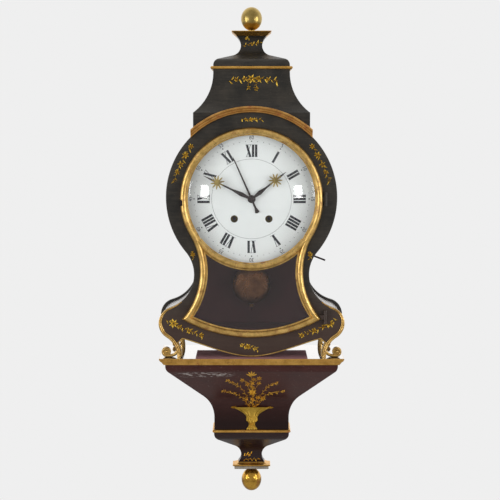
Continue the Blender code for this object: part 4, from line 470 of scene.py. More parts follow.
shelf_lacquer = lacquer(
    "shelf_lacquer", (0.050, 0.028, 0.028), (0.065, 0.036, 0.036), (0.20, 0.17, 0.15), 18.0, 0.05,
    specular_ior_level=0.8, coat_weight=1.0, coat_roughness=0.03, coat_ior=1.9,
)
# painted reflection: the panel's pale pinkish colour stands in for the wall mirrored in it, and its own sheen
# is nearly off
panel_painted_reflection = lacquer(
    "panel_painted_reflection", (0.27, 0.135, 0.145), (0.34, 0.175, 0.185), (0.40, 0.25, 0.25), 18.0, 0.80,
    specular_ior_level=0.05,
)
lining_paint = lacquer(
    "lining_paint", (0.105, 0.048, 0.052), (0.138, 0.064, 0.070), (0.15, 0.09, 0.09), 12.0, 0.60
)

# %% Gilding: gold, shade, clay, rub, polish
gilt_wood = gilding("gilt_wood", (0.76, 0.44, 0.110), (0.56, 0.30, 0.065), (0.34, 0.100, 0.028), 0.02, 0.40)
arch_gilt = gilding("arch_gilt", (0.66, 0.37, 0.110), (0.44, 0.22, 0.060), (0.36, 0.110, 0.030), 0.06, 0.44)
gilt_brass = gilding("gilt_brass", (0.86, 0.57, 0.180), (0.50, 0.30, 0.075), (0.30, 0.110, 0.030), 0.05, 0.36,
                     coat_weight=0.45, coat_roughness=0.16)
ball_gilt = gilding("ball_gilt", (0.47, 0.345, 0.115), (0.30, 0.21, 0.062), (0.18, 0.08, 0.03), -0.04, 0.28)
drop_gilt = gilding("drop_gilt", (0.66, 0.38, 0.065), (0.34, 0.165, 0.022), (0.24, 0.055, 0.015), 0.05, 0.20)
star_gilt = gilding("star_gilt", (0.40, 0.30, 0.095), (0.26, 0.18, 0.050), (0.14, 0.07, 0.02), 0.0, 0.42)
flower_gold = gilding(
    "flower_gold", (0.72, 0.495, 0.077), (0.52, 0.323, 0.0385), (0.36, 0.16, 0.025), 0.0, 0.50
)
# painted light: a brighter copy of the flower gold, making up for the shade on the bracket's downward-facing
# panel
bouquet_gold_painted_light = gilding(
    "bouquet_gold_painted_light", (0.98, 0.60, 0.078), (0.74, 0.39, 0.039), (0.46, 0.18, 0.028), 0.0, 0.50
)
pale_gesso = gilding("pale_gesso", (0.50, 0.46, 0.40), (0.34, 0.30, 0.25), (0.30, 0.20, 0.10), 0.08, 0.60)
urn_gold = gilding("urn_gold", (0.70, 0.46, 0.080), (0.46, 0.29, 0.045), (0.26, 0.13, 0.028), 0.0, 0.50)

# %% Metals: bright tone, dull tone, scale of the tarnish, polish
# The movement's brass is dark all over: partly tarnish, partly painted shade, so that the plate seen through
# the winding holes looks dark
brass = metal("brass", (0.26, 0.18, 0.065), (0.14, 0.09, 0.030), 45.0, 0.38)
bob_brass = metal("bob_brass", (0.30, 0.185, 0.075), (0.11, 0.064, 0.027), 45.0, 0.24)
bell_metal = metal("bell_metal", (0.58, 0.45, 0.24), (0.38, 0.27, 0.12), 35.0, 0.28)
dark_steel = metal("dark_steel", (0.060, 0.048, 0.050), (0.028, 0.018, 0.018), 60.0, 0.40)

# %% Wood, enamel and glass
bare_wood, tree, shader, place = finish("bare_wood", specular_ior_level=0.3)
wood = use(tree, wood_grain, vector=place)
tone = mixed(tree, wood["Grain"], (0.115, 0.060, 0.028), (0.20, 0.115, 0.055))
tone = mixed(tree, wood["Pores"], tone, (0.06, 0.03, 0.015))
rough = ramp(tree, wood["Grain"], 0, 1, 0.6, 0.75)
wire(tree, shader, wood["Pores"], 0.0002, 0.3, base_color=tone, roughness=rough)

white_enamel, tree, shader, place = finish("white_enamel", specular_ior_level=0.5)
cloud = noise(tree, place, 40.0, 4.0)
tone = mixed(tree, cloud, (0.80, 0.815, 0.82), (0.84, 0.85, 0.85))
rough = ramp(tree, cloud, 0.3, 0.7, 0.10, 0.18)
wire(tree, shader, noise(tree, place, 120.0, 1.0), 0.0002, 0.03, base_color=tone, roughness=rough)

black_enamel, tree, shader, place = finish("black_enamel", specular_ior_level=0.5)
cloud = noise(tree, place, 300.0, 3.0)
tone = mixed(tree, cloud, (0.010, 0.011, 0.018), (0.022, 0.022, 0.032))
wire(tree, shader, base_color=tone, roughness=ramp(tree, cloud, 0.3, 0.7, 0.2, 0.35))

clear_glass = glass("clear_glass", (0.97, 0.985, 0.98), (0.96, 0.975, 0.97))
# painted reflection: the pinkish tint of the lower pane stands in for the dim purple reflection on it
lower_pane = glass("lower_pane", (0.80, 0.66, 0.68), (0.85, 0.75, 0.76))
print("materials:", sorted(material.name for material in bpy.data.materials if material.use_nodes))

# %% [markdown]
# ## Bracket
# The bracket is three thin panels bent to an ogee, mitred together and lacquered over, so that the joints
# don't show. Seen from above each level is half a square, so one list of half widths gives all three sides.
# The panel is therefore one surface of two parameters: how far down the ogee, and how far round the U.


# %% Ogees and blocks
def ogee(half, end_half, slope, ear, sweep, steps=20):
    """(half width, drop) of an ogee: a convex quarter, a straight slope and a concave sweep, all tangent."""
    turn = math.pi / 2 - math.radians(slope)
    ear_end = (half - ear * (1 - math.cos(turn)), ear * math.sin(turn))
    sweep_start = end_half + sweep * (1 - math.cos(turn))
    straight = (ear_end[0] - sweep_start) * math.tan(math.radians(slope))
    end_drop = ear_end[1] + straight + sweep * math.sin(turn)
    t = np.linspace(0, turn, steps + 1)
    convex = np.stack([half - ear * (1 - np.cos(t)), ear * np.sin(t)], axis=-1)
    concave = np.stack([end_half + sweep * (1 - np.cos(t)), end_drop - sweep * np.sin(t)], axis=-1)
    return np.concatenate([convex, concave[::-1]])


def upright_u(half, height, wall, back, corner=0.0012):
    """Rings of a U-shaped wall in plan with two rounded outer corners: one ring per half width and height."""
    quarter = np.radians(np.linspace(0, 90, 5))
    half, height = half[:, None], height[:, None]
    rear, inner = np.full_like(half, back), half - wall
    x = np.concatenate([-half, -half + corner * (1 - np.cos(quarter))], axis=1)
    out = np.concatenate([rear, half - corner * (1 - np.sin(quarter))], axis=1)
    x = np.concatenate([x, -x[:, ::-1], inner, inner, -inner, -inner], axis=1)
    out = np.concatenate([out, out[:, ::-1], rear, inner, inner, rear], axis=1)
    return grid(standing(x, out, height))


def upright_block(line, back=0.0, shift=0.0, corner=0.0008):
    """A solid block through (half width, height) points, flat behind, its front at half width plus shift."""
    quarter = np.radians(np.linspace(0, 90, 5))
    half, height = line[:, :1], line[:, 1:]
    x = np.concatenate([-half, -half + corner * (1 - np.cos(quarter))], axis=1)
    out = np.concatenate([np.full_like(half, back), half + shift - corner * (1 - np.sin(quarter))], axis=1)
    x, out = (np.concatenate([left, sign * left[:, ::-1]], axis=1) for left, sign in ((x, -1), (out, 1)))
    return grid(standing(x, out, height))


def three_sides(half, front, back, profile, base):
    """Carry an (outward, up) profile along the left side, the front and the right side of a block."""
    run = carried(np.array([(-half, -back), (-half, -front), (half, -front), (half, -back)]), profile, False)
    return grid(run + (0, 0, SHELF_TOP + base))


# %% Ogee panels
GAP = 0.0003  # between the meshes of two pieces that touch
CORNICE_HEIGHT, BRACKET_FALL = 0.013, 0.1575
PANEL_HALF, PANEL_END_HALF, PANEL_WALL, PANEL_BACK = 0.1655, 0.0737, 0.010, 0.0123
PANEL_LIP, PENDANT_LIP = 0.0035, 0.002  # upright edges above the ogees
top = -CORNICE_HEIGHT - GAP
fall = ogee(PANEL_HALF, PANEL_END_HALF, slope=41.6, ear=0.016, sweep=0.062)
bracket_line = np.concatenate([
    [(PANEL_HALF, top)], (0, top - PANEL_LIP) + fall * (1, -1), [(PANEL_END_HALF, -BRACKET_FALL)],
])
panels = upright_u(bracket_line[:, 0], bracket_line[:, 1], PANEL_WALL, PANEL_BACK)
piece("bracket_panels", [panels], bracket_lacquer, "bracket",
      ["bracket_front", "bracket_side_left", "bracket_side_right"])

# %% [markdown]
# ## Gilt mouldings of the bracket
# The cornice is a strip with a reversed curve, planed by the yard and mitred round three sides of the
# shelf. The astragal below is a half round. Both are one profile carried round the front. The pendant under
# them draws in by a smaller ogee to a neck, flares again over the foot plate, and ends in a turned ball.

# %% Cornice and astragal
CORNICE_HALF, w, h = 0.1633, 0.0135, CORNICE_HEIGHT
t = np.linspace(0, 1, 17)[:, None]
reverse = w * (0.95 - 0.42 * (t - 0.11 * np.sin(2 * math.pi * t)))
cornice = np.concatenate([
    [(0, 0), (0.97 * w, 0), (w, -0.03 * h), (w, -0.17 * h)],
    np.concatenate([reverse, -h * (0.20 + 0.62 * t)], axis=1),
    [(0.43 * w, -0.85 * h), (0.42 * w, -0.98 * h), (0.40 * w, -h), (0, -h)],
])
piece("cornice", [three_sides(CORNICE_HALF, CORNICE_HALF, 0, cornice, 0)], gilt_wood, "bracket",
      ["bracket_cornice"])

ASTRAGAL_HALF, ASTRAGAL_RADIUS = 0.0774, 0.0031
bend = np.radians(np.linspace(90, -90, 15))
half = ASTRAGAL_HALF - ASTRAGAL_RADIUS + ASTRAGAL_RADIUS * np.cos(bend)
height = -BRACKET_FALL - GAP - ASTRAGAL_RADIUS + ASTRAGAL_RADIUS * np.sin(bend)
piece("astragal", [upright_block(np.stack([half, height], axis=-1))], gilt_wood, "bracket",
      ["bracket_astragal"])

# %% Pendant, foot plate and a pale collar under it
PENDANT_HALF, PENDANT_NECK, FLARE_RADIUS, FLARE_DROP = 0.0743, 0.0208, 0.019, 0.0135
top = -BRACKET_FALL - 2 * GAP - 2 * ASTRAGAL_RADIUS
fall = ogee(PENDANT_HALF, PENDANT_NECK, slope=30, ear=0.016, sweep=0.024)
pendant_line = np.concatenate([[(PENDANT_HALF, top)], (0, top - PENDANT_LIP) + fall * (1, -1)])
drop = np.linspace(0, FLARE_DROP, 9)[1:]
flare = PENDANT_NECK + FLARE_RADIUS - np.sqrt(FLARE_RADIUS**2 - drop**2)
pendant_line = np.concatenate([pendant_line, np.stack([flare, pendant_line[-1, 1] - drop], axis=-1)])
piece("pendant", [upright_block(pendant_line)], brown_lacquer, "bracket",
      ["bracket_pendant"])

FOOT_PLATE_HALF, FOOT_PLATE_HEIGHT = 0.0377, 0.0062
top = pendant_line[-1, 1] - GAP
quarter = np.radians(np.linspace(0, 90, 9))
narrow, wide = pendant_line[-1, 0], FOOT_PLATE_HALF
cove_half = wide - 0.001 - (wide - 0.001 - narrow) * np.cos(quarter)
cove = np.stack([cove_half, top - 0.0036 * np.sin(quarter)], axis=-1)
lip = np.array([(-0.0004, -0.0038), (0, -0.0042), (0, -0.0059), (-0.0003, -FOOT_PLATE_HEIGHT)]) + (wide, top)
piece("foot_plate", [upright_block(np.concatenate([cove, lip]))], gilt_wood, "bracket",
      ["bracket_foot_plate"])
collar = np.array([(0.0325, -FOOT_PLATE_HEIGHT), (0.0345, -0.0070), (0.0345, -0.0112), (0.0335, -0.0122)])
piece("foot_collar", [upright_block(collar + (0, top), 0.0, 0.0025)], pale_gesso, "bracket")


# %% Hanging ball
def ball_profile(radius, half_height, peg, above, peg_radius=0.006):
    """(radius, along) of an egg-shaped ball with a short peg above or below it."""
    angle = np.linspace(math.asin(peg_radius / radius), math.pi, 33)
    egg = np.stack([radius * np.sin(angle), half_height * np.cos(angle)], axis=-1)
    line = np.concatenate([[(0, half_height + peg), (peg_radius, half_height + peg)], egg])
    return line if above else line * (1, -1)


DROP_RADIUS, DROP_HALF_HEIGHT, DROP_PEG, DROP_OUT = 0.0199, 0.0232, 0.0065, 0.0202
centre = top - FOOT_PLATE_HEIGHT - GAP - DROP_PEG - DROP_HALF_HEIGHT
ball = turned(ball_profile(DROP_RADIUS, DROP_HALF_HEIGHT, DROP_PEG, True), (0, DROP_OUT, centre), 64, False)
piece("hanging_ball", [grid(ball, caps=False)], drop_gilt, "bracket", ["bracket_ball"])

# %% [markdown]
# ## The violin case
# The front and the back were sawn from boards, and the sides are thin wood bent to the same line. The
# outline is a chain of tangent arcs: the ring round the dial, the hollow waist, the swelling shoulder and
# the leg. Between two upright ends, two arcs that turn by one angle always meet: the sum of their radii
# follows from the distance.


# %% Case outline
RING, WAIST, SHOULDER, LEG = (0.0, 0.307), (0.110, 0.160), (0.1777, 0.066), (0.1424, 0.002)
RING_RADIUS, CASE_FRONT, CASE_BACK = 0.163, 0.158, 0.008
FRONT_BOARD, BACK_BOARD, BACK_FLARE, LEG_WIDTH = 0.016, 0.012, 0.004, 0.009
HOLLOW_SHARE, UNDER_SHARE = 0.68, 0.42  # of both radii: the arc beside the waist, the one under the shoulder
SKIRT_HALF, SKIRT_LOW, SKIRT_RISE = 0.1323, 0.002, 0.034


def swan_neck(near, far, share):
    """Radii of two tangent arcs between upright ends, and the angle in degrees that each turns by."""
    across, fall = abs(far[0] - near[0]), near[1] - far[1]
    both = (across**2 + fall**2) / (2 * across)
    return share * both, (1 - share) * both, math.degrees(math.asin(fall / both))


def hollow_beside(ring, radius, waist):
    """Radius of the arc that is upright at the waist and touches the ring from outside."""
    return (waist[0] ** 2 + (ring[1] - waist[1]) ** 2 - radius**2) / (2 * (radius - waist[0]))


def case_side(grow=0.0, flare=0.0):
    """Right-hand outline from the top of the ring to the shoulder's end, moved outwards by a distance."""
    shoulder = (SHOULDER[0] + flare, SHOULDER[1])
    hollow = hollow_beside(RING, RING_RADIUS, WAIST)
    middle = (WAIST[0] + hollow, WAIST[1])
    turn = bearing(RING, middle)
    lower, upper, bend = swan_neck(WAIST, shoulder, HOLLOW_SHARE)
    under, _, end = swan_neck(shoulder, LEG, UNDER_SHARE)
    return np.concatenate([
        arc(RING, RING_RADIUS + grow, 90, turn, 90),
        arc(middle, hollow - grow, turn + 180, 180, 16)[1:],
        arc((WAIST[0] + lower, WAIST[1]), lower - grow, 180, 180 + bend, 24)[1:],
        arc((shoulder[0] - upper, SHOULDER[1]), upper + grow, bend, 0, 20)[1:],
        arc((shoulder[0] - under, SHOULDER[1]), under + grow, 0, -end, 20)[1:],
    ])


def leg_line(flare=0.0):
    """Right-hand outline from the shoulder's end down the leg's outside, under it and up its inside."""
    _, radius, turn = swan_neck((SHOULDER[0] + flare, SHOULDER[1]), LEG, UNDER_SHARE)
    middle = (LEG[0] + radius, LEG[1])
    outside = arc(middle, radius, 180 - turn, 180, 20)[1:]
    sole = [(LEG[0], GAP), (LEG[0] - LEG_WIDTH, GAP)]
    return np.concatenate([outside, sole, arc(middle, radius + LEG_WIDTH, 180, 150, 14)])


share = np.linspace(1, 0, 41)
skirt = np.stack([SKIRT_HALF * share, SKIRT_LOW + SKIRT_RISE * (2 * share**2 - share**3)], axis=-1)
print("case outline:", len(case_side()) + len(leg_line()) + len(skirt), "points on the right")

# %% Door outline
DIAL_CENTRE, DOOR_RADIUS = (0.0, 0.304), 0.136
DOOR_WAIST, DOOR_CORNER, DOOR_SAG = (0.0985, 0.166), (0.1334, 0.0748), 0.036


def crossing(first, first_radius, second, second_radius):
    """Where two circles cross, on the left of the line from the first centre to the second."""
    apart = math.dist(first, second)
    along = np.subtract(second, first) / apart
    reach = (first_radius**2 - second_radius**2 + apart**2) / (2 * apart)
    aside = math.sqrt(first_radius**2 - reach**2) * np.array([-along[1], along[0]])
    return np.array(first) + reach * along + aside


def door_line(steps=128, inset=0.0):
    """Closed clockwise outline of the door, or the line drawn in from it by a distance.

    It is made of arcs: the ring, the hollow sides and the swept bottom. Drawing in changes only their radii,
    and the lower corner moves to where the new side crosses the new bottom.
    """
    hollow = hollow_beside(DIAL_CENTRE, DOOR_RADIUS, DOOR_WAIST)
    middle = (DOOR_WAIST[0] + hollow, DOOR_WAIST[1])
    turn = bearing(DIAL_CENTRE, middle)
    across, fall = DOOR_CORNER[0] - DOOR_WAIST[0], DOOR_WAIST[1] - DOOR_CORNER[1]
    side = (across**2 + fall**2) / (2 * across)
    side_centre = (DOOR_WAIST[0] + side, DOOR_WAIST[1])
    sweep = (DOOR_CORNER[0] ** 2 + DOOR_SAG**2) / (2 * DOOR_SAG)
    sweep_centre = (0.0, DOOR_CORNER[1] - DOOR_SAG + sweep)
    corner = crossing(side_centre, side + inset, sweep_centre, sweep - inset)
    return both_sides(np.concatenate([
        arc(DIAL_CENTRE, DOOR_RADIUS - inset, 90, turn, steps),
        arc(middle, hollow + inset, turn + 180, 180, 12)[1:],
        arc(side_centre, side + inset, 180, bearing(side_centre, corner) % 360, 20)[1:],
        arc(sweep_centre, sweep - inset, bearing(sweep_centre, corner), -90, 24)[1:],
    ]))


# %% Front and back boards
WINDOW_INSET, BACK_LOW = 0.008, 0.036
front_line = both_sides(np.concatenate([case_side(), leg_line(), skirt]))
window = door_line(48, WINDOW_INSET)[::-1]
front_board = board([front_line, window], CASE_FRONT - FRONT_BOARD, CASE_FRONT, easing=0.0012)
piece("front_board", front_board, front_lacquer, "case", ["case_front"])
back_edge = [(SKIRT_HALF, BACK_LOW), (0, BACK_LOW)]
back_half = np.concatenate([case_side(0, BACK_FLARE), leg_line(BACK_FLARE), back_edge])
back_board = board([both_sides(back_half)], CASE_BACK, CASE_BACK + BACK_BOARD, easing=0.0010)
piece("back_board", back_board, black_lacquer, "case", ["case_back"])

# %% [markdown]
# ## Bent walls
# The walls run in one piece from shoulder to shoulder over the top, a little inside the boards' edge. The
# pull lever leaves through a notch in the front edge of the right wall. So the wall is one section carried
# along the outline, whose front edge steps back between two heights.

# %% Bent walls with the lever's notch
WALL, WALL_INSET = 0.008, 0.003
NOTCH_TOP, NOTCH_LOW, NOTCH_FRONT, NOTCH_MARGIN, STEP = 0.2005, 0.1805, 0.1350, 0.0015, 2e-5
right = case_side(-WALL_INSET)
path = np.concatenate([right[::-1] * (-1, 1), right[1:]])
rear, front = CASE_BACK + BACK_BOARD + GAP, CASE_FRONT - FRONT_BOARD - GAP
notch = [np.array([np.interp(z, right[::-1, 1], right[::-1, 0]), z]) for z in (NOTCH_TOP, NOTCH_LOW)]
beside = (path[:, 1] <= NOTCH_TOP + NOTCH_MARGIN) & (path[:, 1] >= NOTCH_LOW - NOTCH_MARGIN)
within = (path[:, 0] >= 0) & beside
first, count = np.argmax(within), np.count_nonzero(within)
path = np.concatenate([path[:first], [notch[0] + (0, STEP), notch[0]], path[within][1:-1],
                       [notch[1], notch[1] - (0, STEP)], path[first + count:]])
edge = np.full(len(path), front)
edge[first + 1:first + 1 + count] = NOTCH_FRONT
zero = np.zeros(len(path))
section = np.stack([np.stack([zero, zero, zero + WALL, zero + WALL], axis=1),
                    np.stack([zero + rear, edge, edge, zero + rear], axis=1)], axis=-1)
piece("bent_walls", [grid(facing(carried(path, section, False)))], wall_lacquer, "case",
      ["case_side_left", "case_side_right", "case_top"])

# %% [markdown]
# ## Shelf skin, shelf panel and lining
# The top of the shelf carries a thick glossy lacquer that mirrors the wall, and a duller panel lies in its
# middle, whose pale pinkish colour is a painted reflection of the wall. Inside, the back of the case is
# painted a brownish red, which shows dimly behind the lower glass. All three are thin boards laid on the
# solids.


# %% Shelf skin, shelf panel and the lining of the case
def slab_board(x, low_out, high_out, low, high):
    """A thin flat board with eased upper edges: rings of a rectangle in plan, drawn in at the top."""
    inset = np.array([0.0, 0.0, 0.25])[:, None] * (high - low)
    level = np.array([low, 0.4 * low + 0.6 * high, high])[:, None]
    out = np.where(np.array([0, 0, 1, 1]), high_out - inset, low_out + inset)
    return grid(standing(np.array([-1, 1, 1, -1]) * (x - inset), out, level))


SKIN_HALF, SKIN_TOP, MAT_HALF, MAT_TOP = 0.1762, 0.0002, 0.107, 0.0011
LINING_TOP, LINING_LOW, LINING_BACK = 0.262, 0.0488, CASE_BACK + BACK_BOARD
skin = slab_board(SKIN_HALF, 0.0, SKIN_HALF, low=0.00002, high=SKIN_TOP)
piece("shelf_skin", [skin], shelf_lacquer, "bracket")
mat = slab_board(MAT_HALF, low_out=0.0725, high_out=0.172, low=SKIN_TOP, high=MAT_TOP)
piece("shelf_panel", [mat], panel_painted_reflection, "bracket")
inner = case_side(-0.0125)
inner = inner[(inner[:, 1] < LINING_TOP) & (inner[:, 1] > LINING_LOW + 0.0004)]
lining = both_sides(np.concatenate([[(0, LINING_TOP)], inner, [(0, LINING_LOW)]]))
lining = board([lining], LINING_BACK + 0.0001, LINING_BACK + 0.0010, easing=0.0002)
piece("case_lining", lining, lining_paint, "case")

# %% [markdown]
# ## Gilt edging and scroll feet
# A gilt strip with two reeds follows the edge of the front board from below the waist, round the shoulder
# and down the outside of each leg, and grows wider on its way. A thin gilt line runs along the skirt and up
# the inside of the legs, and a broad one edges the rear legs. The feet are cast scrolls: a flat tail that
# leaves the leg and rolls up. A spiral carries a rounded section whose width shrinks with the angle, so
# each foot is one sweep.

# %% Leg strips and edge lines
STRIP_TOP = 0.108
LEG_OUTSIDE, LEG_SOLE = 21, 22  # where leg_line has passed the outside of the leg, and its sole
theta = np.linspace(math.pi, 0, 9)
reeds = np.concatenate([
    np.stack([0.24 + 0.32 * np.cos(theta), np.sin(theta)], axis=-1),
    np.stack([0.78 + 0.22 * np.cos(theta), 0.75 * np.sin(theta)], axis=-1),
    [(1.0, -0.3), (-0.08, -0.3)],
])
outer = np.concatenate([case_side(), leg_line()[:LEG_OUTSIDE]])
outer = outer[(outer[:, 1] < STRIP_TOP) & (np.arange(len(outer)) > 100)]
along = np.cumsum(np.linalg.norm(np.diff(outer, axis=0, prepend=outer[:1]), axis=1))
wide = np.interp(along, [0, 0.050, 0.075], [0.0014, 0.0048, 0.0064])[:, None]
section = np.stack([wide * reeds[:, 0], CASE_FRONT + (0.0003 + 0.22 * wide) * reeds[:, 1]], axis=-1)
strip = carried(outer, section, False)
shells = [grid(facing(strip, side)) for side in (-1, 1)]
circle = np.radians(np.linspace(0, 360, 9)[:-1])
line = np.stack([0.0008 + 0.0011 * np.cos(circle), CASE_FRONT + 0.0002 + 0.0008 * np.sin(circle)], axis=-1)
right = np.concatenate([leg_line()[LEG_SOLE:], skirt])
shells.append(grid(facing(carried(np.concatenate([right, right[-2::-1] * (-1, 1)]), line, False))))
rear_face = CASE_BACK + BACK_BOARD
broad = np.stack([0.0040 + 0.0046 * np.cos(circle), rear_face + 0.0011 * np.sin(circle)], axis=-1)
behind = carried(leg_line(BACK_FLARE)[LEG_OUTSIDE:], broad, False)
shells += [grid(facing(behind, side)) for side in (-1, 1)]
piece("gilt_edges", shells, gilt_brass, "case")

# %% Shape of a scroll foot
SCROLL_X, SCROLL_RADIUS, SCROLL_BAND, SCROLL_DEPTH = 0.0214, 0.0104, 0.005, 0.007
share = np.linspace(0, 1, 97)
turn = np.radians(-90 + 450 * share)
band = SCROLL_BAND + (0.0016 - SCROLL_BAND) * share
radius = SCROLL_RADIUS + (0.0022 - SCROLL_RADIUS) * share - band / 2
spiral_x, spiral_z = LEG[0] + SCROLL_X + radius * np.cos(turn), GAP + SCROLL_RADIUS + radius * np.sin(turn)
spiral = np.stack([spiral_x, spiral_z], axis=-1)
t = np.linspace(0, 1, 13)[:-1, None]
joint, bend = np.array([LEG[0] - 0.0022, 0.0150]), np.array([LEG[0] + 0.0030, 0.0028])
low = np.array([LEG[0] + 0.0110, spiral[0, 1]])
tail = joint * (1 - t) ** 3 + 3 * bend * t * (1 - t) ** 2 + 3 * low * t**2 * (1 - t) + spiral[0] * t**3
path = np.concatenate([tail, spiral])
width = np.concatenate([np.linspace(0.0066, SCROLL_BAND, 12), band])[:, None]
circle = np.linspace(0, 2 * math.pi, 21)[:-1]
across, deep = (np.sign(wave) * np.abs(wave) ** power
                for wave, power in ((np.cos(circle), 0.6), (np.sin(circle), 0.45)))
shape = np.stack([width / 2 * across, np.broadcast_to(SCROLL_DEPTH * deep, (len(path), 20))], axis=-1)
scroll = carried(path, shape, False)
print("scroll:", scroll.shape[0], "sections")

# %% Four scroll feet with their webs and buttons
REAR_SIZE = 0.55
eye = np.radians(np.linspace(0, 90, 7))
button = np.stack([0.0024 * np.cos(eye), 0.0018 * np.sin(eye)], axis=-1)
web = np.array([(0, -0.0046), (0.0086, -0.0046), (0.0090, -0.0042)])
web = np.concatenate([web, web[::-1] * (1, -1)])
rows = ("front", CASE_FRONT - SCROLL_DEPTH, 1.0), ("rear", CASE_BACK + SCROLL_DEPTH, REAR_SIZE)
for row, middle, size in rows:
    centre = np.array([LEG[0] + SCROLL_X * size, GAP + SCROLL_RADIUS * size])
    x, z = LEG[0] + size * (scroll[..., 0] - LEG[0]), GAP + size * (scroll[..., 1] - GAP)
    for name, hand in (("left", -1), ("right", 1)):
        eye_centre = centre * (hand, 1)
        shells = [grid(standing(hand * x, middle + scroll[..., 2], z))]
        shells.append(grid(turned(web * (size, 1) + (0, middle), eye_centre, 40), caps=False))
        for end in (-1, 1):
            shells.append(grid(turned(button * (size, end) + (0, middle + end * 0.0066), eye_centre, 20)))
        node_name = f"foot_{row}_{name}"
        piece(node_name + "_scroll", shells, gilt_brass, "case", [node_name])

# %% [markdown]
# ## Door
# The door is a gilt bead moulding on a violin-shaped frame, mitred at the lower corners, with a bar across
# it that closes the ring round the dial. The bead is half an ellipse, with a thin lip inside it and a step
# behind for the glass. The dial glass is a slice of a sphere with a flat rim, and the lower pane is flat.

# %% Door frame and lunette bar
w, h, lip = 0.0148, 0.0122, 0.0040
REBATE_WIDTH, REBATE_DEPTH, DOOR_BACK = 0.0032, 0.0026, CASE_FRONT + GAP
CATCH_HEIGHT, CATCH_HALF, CATCH_DEPTH = 0.297, 0.0058, 0.0048  # the notch that the catch reaches into
half_turn = np.linspace(0, math.pi, 19)
glazed = np.array([(w - REBATE_WIDTH, 0), (w - REBATE_WIDTH, REBATE_DEPTH), (w, REBATE_DEPTH),
                   (w, lip - 0.0005), (w - 0.0005, lip)])


def bead(middle, reach):
    """Half an ellipse on the rail: its middle and its reach to both sides are shares of the rail's width."""
    across, up = middle * w + reach * w * np.cos(half_turn), 0.34 * h + 0.66 * h * np.sin(half_turn)
    return np.stack([across, up], axis=-1)


rail = np.concatenate([[(0, 0)], glazed, [(0.87 * w, lip)], bead(0.43, 0.41), [(0, 0.30 * h)]])
path = door_line(256)
notched = ((path[:, 0] < -0.1) & (np.abs(path[:, 1] - CATCH_HEIGHT) < CATCH_HALF))[:, None]
lines = [np.where(notched, door_line(256, max(u, CATCH_DEPTH)), door_line(256, u)) for u, _ in rail]
lines = np.stack(lines, axis=1)
bar_profile = np.concatenate([glazed, bead(0.50, 0.36), (glazed * (-1, 1) + (w, 0))[::-1]])
bar = carried(arc(DIAL_CENTRE, DOOR_RADIUS, -38, -142, 80), bar_profile, False)
shells = [grid(standing(lines[..., 0], DOOR_BACK + rail[:, 1], lines[..., 1]), True),
          grid(standing(bar[..., 0], DOOR_BACK + bar[..., 2], bar[..., 1]))]
piece("door_rails", shells, gilt_brass, "door", ["door_frame"], sharp=40)

# %% Domed glass
opening, rim, dome, thick = 0.1209, 0.1240, 0.028, 0.002
low, seat = DOOR_BACK + GAP, DOOR_BACK + REBATE_DEPTH - GAP
crown = (opening**2 + dome**2) / (2 * dome)
radius = np.linspace(0, opening, 33)
sag = crown - np.sqrt(crown**2 - radius**2)
outside = np.stack([radius, seat + dome - sag], axis=-1)
hollow = np.stack([radius * (1 - thick / opening), seat + dome - sag - thick], axis=-1)
profile = np.concatenate([outside, [(rim, seat), (rim, low)], hollow[::-1]])
piece("domed_glass", [grid(turned(profile, DIAL_CENTRE, 128), caps=False)], clear_glass, "door",
      ["dial_glass"])

# %% [markdown]
# ## Dial
# The dial is a copper disc, domed a little, with white enamel fired over both faces. The numerals are
# painted and fired on top. The enamel is a flat triangulation with open winding holes, lifted onto a
# sphere. Each numeral is a set of thin slabs that follow the same sphere, a tenth of a millimetre above the
# enamel.

# %% Enamel
DIAL_RADIUS, DIAL_RIM_OUT, DIAL_DOME, ENAMEL = 0.1265, 0.146, 0.0065, 0.0025
HOLE_X, HOLE_Z, HOLE_RADIUS, POST_RADIUS, POST_CIRCLE, POST_END = 0.033, -0.038, 0.007, 0.0022, 0.0775, 0.129
dial_crown = (DIAL_RADIUS**2 + DIAL_DOME**2) / (2 * DIAL_DOME)


def dial_out(x, z):
    """Distance from the wall of the dial's face at a place given from its centre: a slice of a sphere."""
    return DIAL_RIM_OUT + DIAL_DOME - dial_crown + np.sqrt(dial_crown**2 - x**2 - z**2)


def on_dial(x, z, lift=0.0):
    """Points on the dial's face, or lifted from it, at places given from its centre."""
    return standing(x, dial_out(x, z) + lift, DIAL_CENTRE[1] + z)


def clock_angle(along, outwards, angle):
    """Places from the dial's centre of (along the tangent, outwards) points, turned clockwise from twelve."""
    sine, cosine = math.sin(math.radians(angle)), math.cos(math.radians(angle))
    return along * cosine + outwards * sine, outwards * cosine - along * sine


loops = [arc((0, 0), DIAL_RADIUS, 360, 0, 144)[:-1], arc((0, 0), HOLE_RADIUS, 0, 360, 32)[:-1]]
loops += [arc((side * HOLE_X, HOLE_Z), HOLE_RADIUS, 0, 360, 40)[:-1] for side in (-1, 1)]
rings, turns = np.linspace(0.012, 0.122, 23), np.radians(np.arange(0, 360, 5))
rings, turns = np.meshgrid(rings, turns, indexing="ij")
lattice = np.stack([rings * np.cos(turns), rings * np.sin(turns)], axis=-1).reshape(-1, 2)
from_holes = [np.linalg.norm(lattice - (side * HOLE_X, HOLE_Z), axis=1) for side in (-1, 1)]
flat, faces = filled(loops, lattice[np.minimum(*from_holes) >= HOLE_RADIUS + 0.0005])
shells = [(on_dial(flat[:, 0], flat[:, 1], -depth), faces.tolist()) for depth in (0, ENAMEL)]
for loop in loops:
    edges = [on_dial(loop[:, 0], loop[:, 1], -depth) for depth in (0, ENAMEL)]
    shells.append(grid(np.stack(edges), caps=False))
for angle in (90, 210, 330):
    x, z = arc((0, 0), POST_CIRCLE, angle, angle, 1)[0]
    post = np.array([(POST_RADIUS, POST_END), (POST_RADIUS, float(dial_out(x, z)) - 0.001)])
    shells.append(grid(turned(post, (x, DIAL_CENTRE[1] + z), 16)))
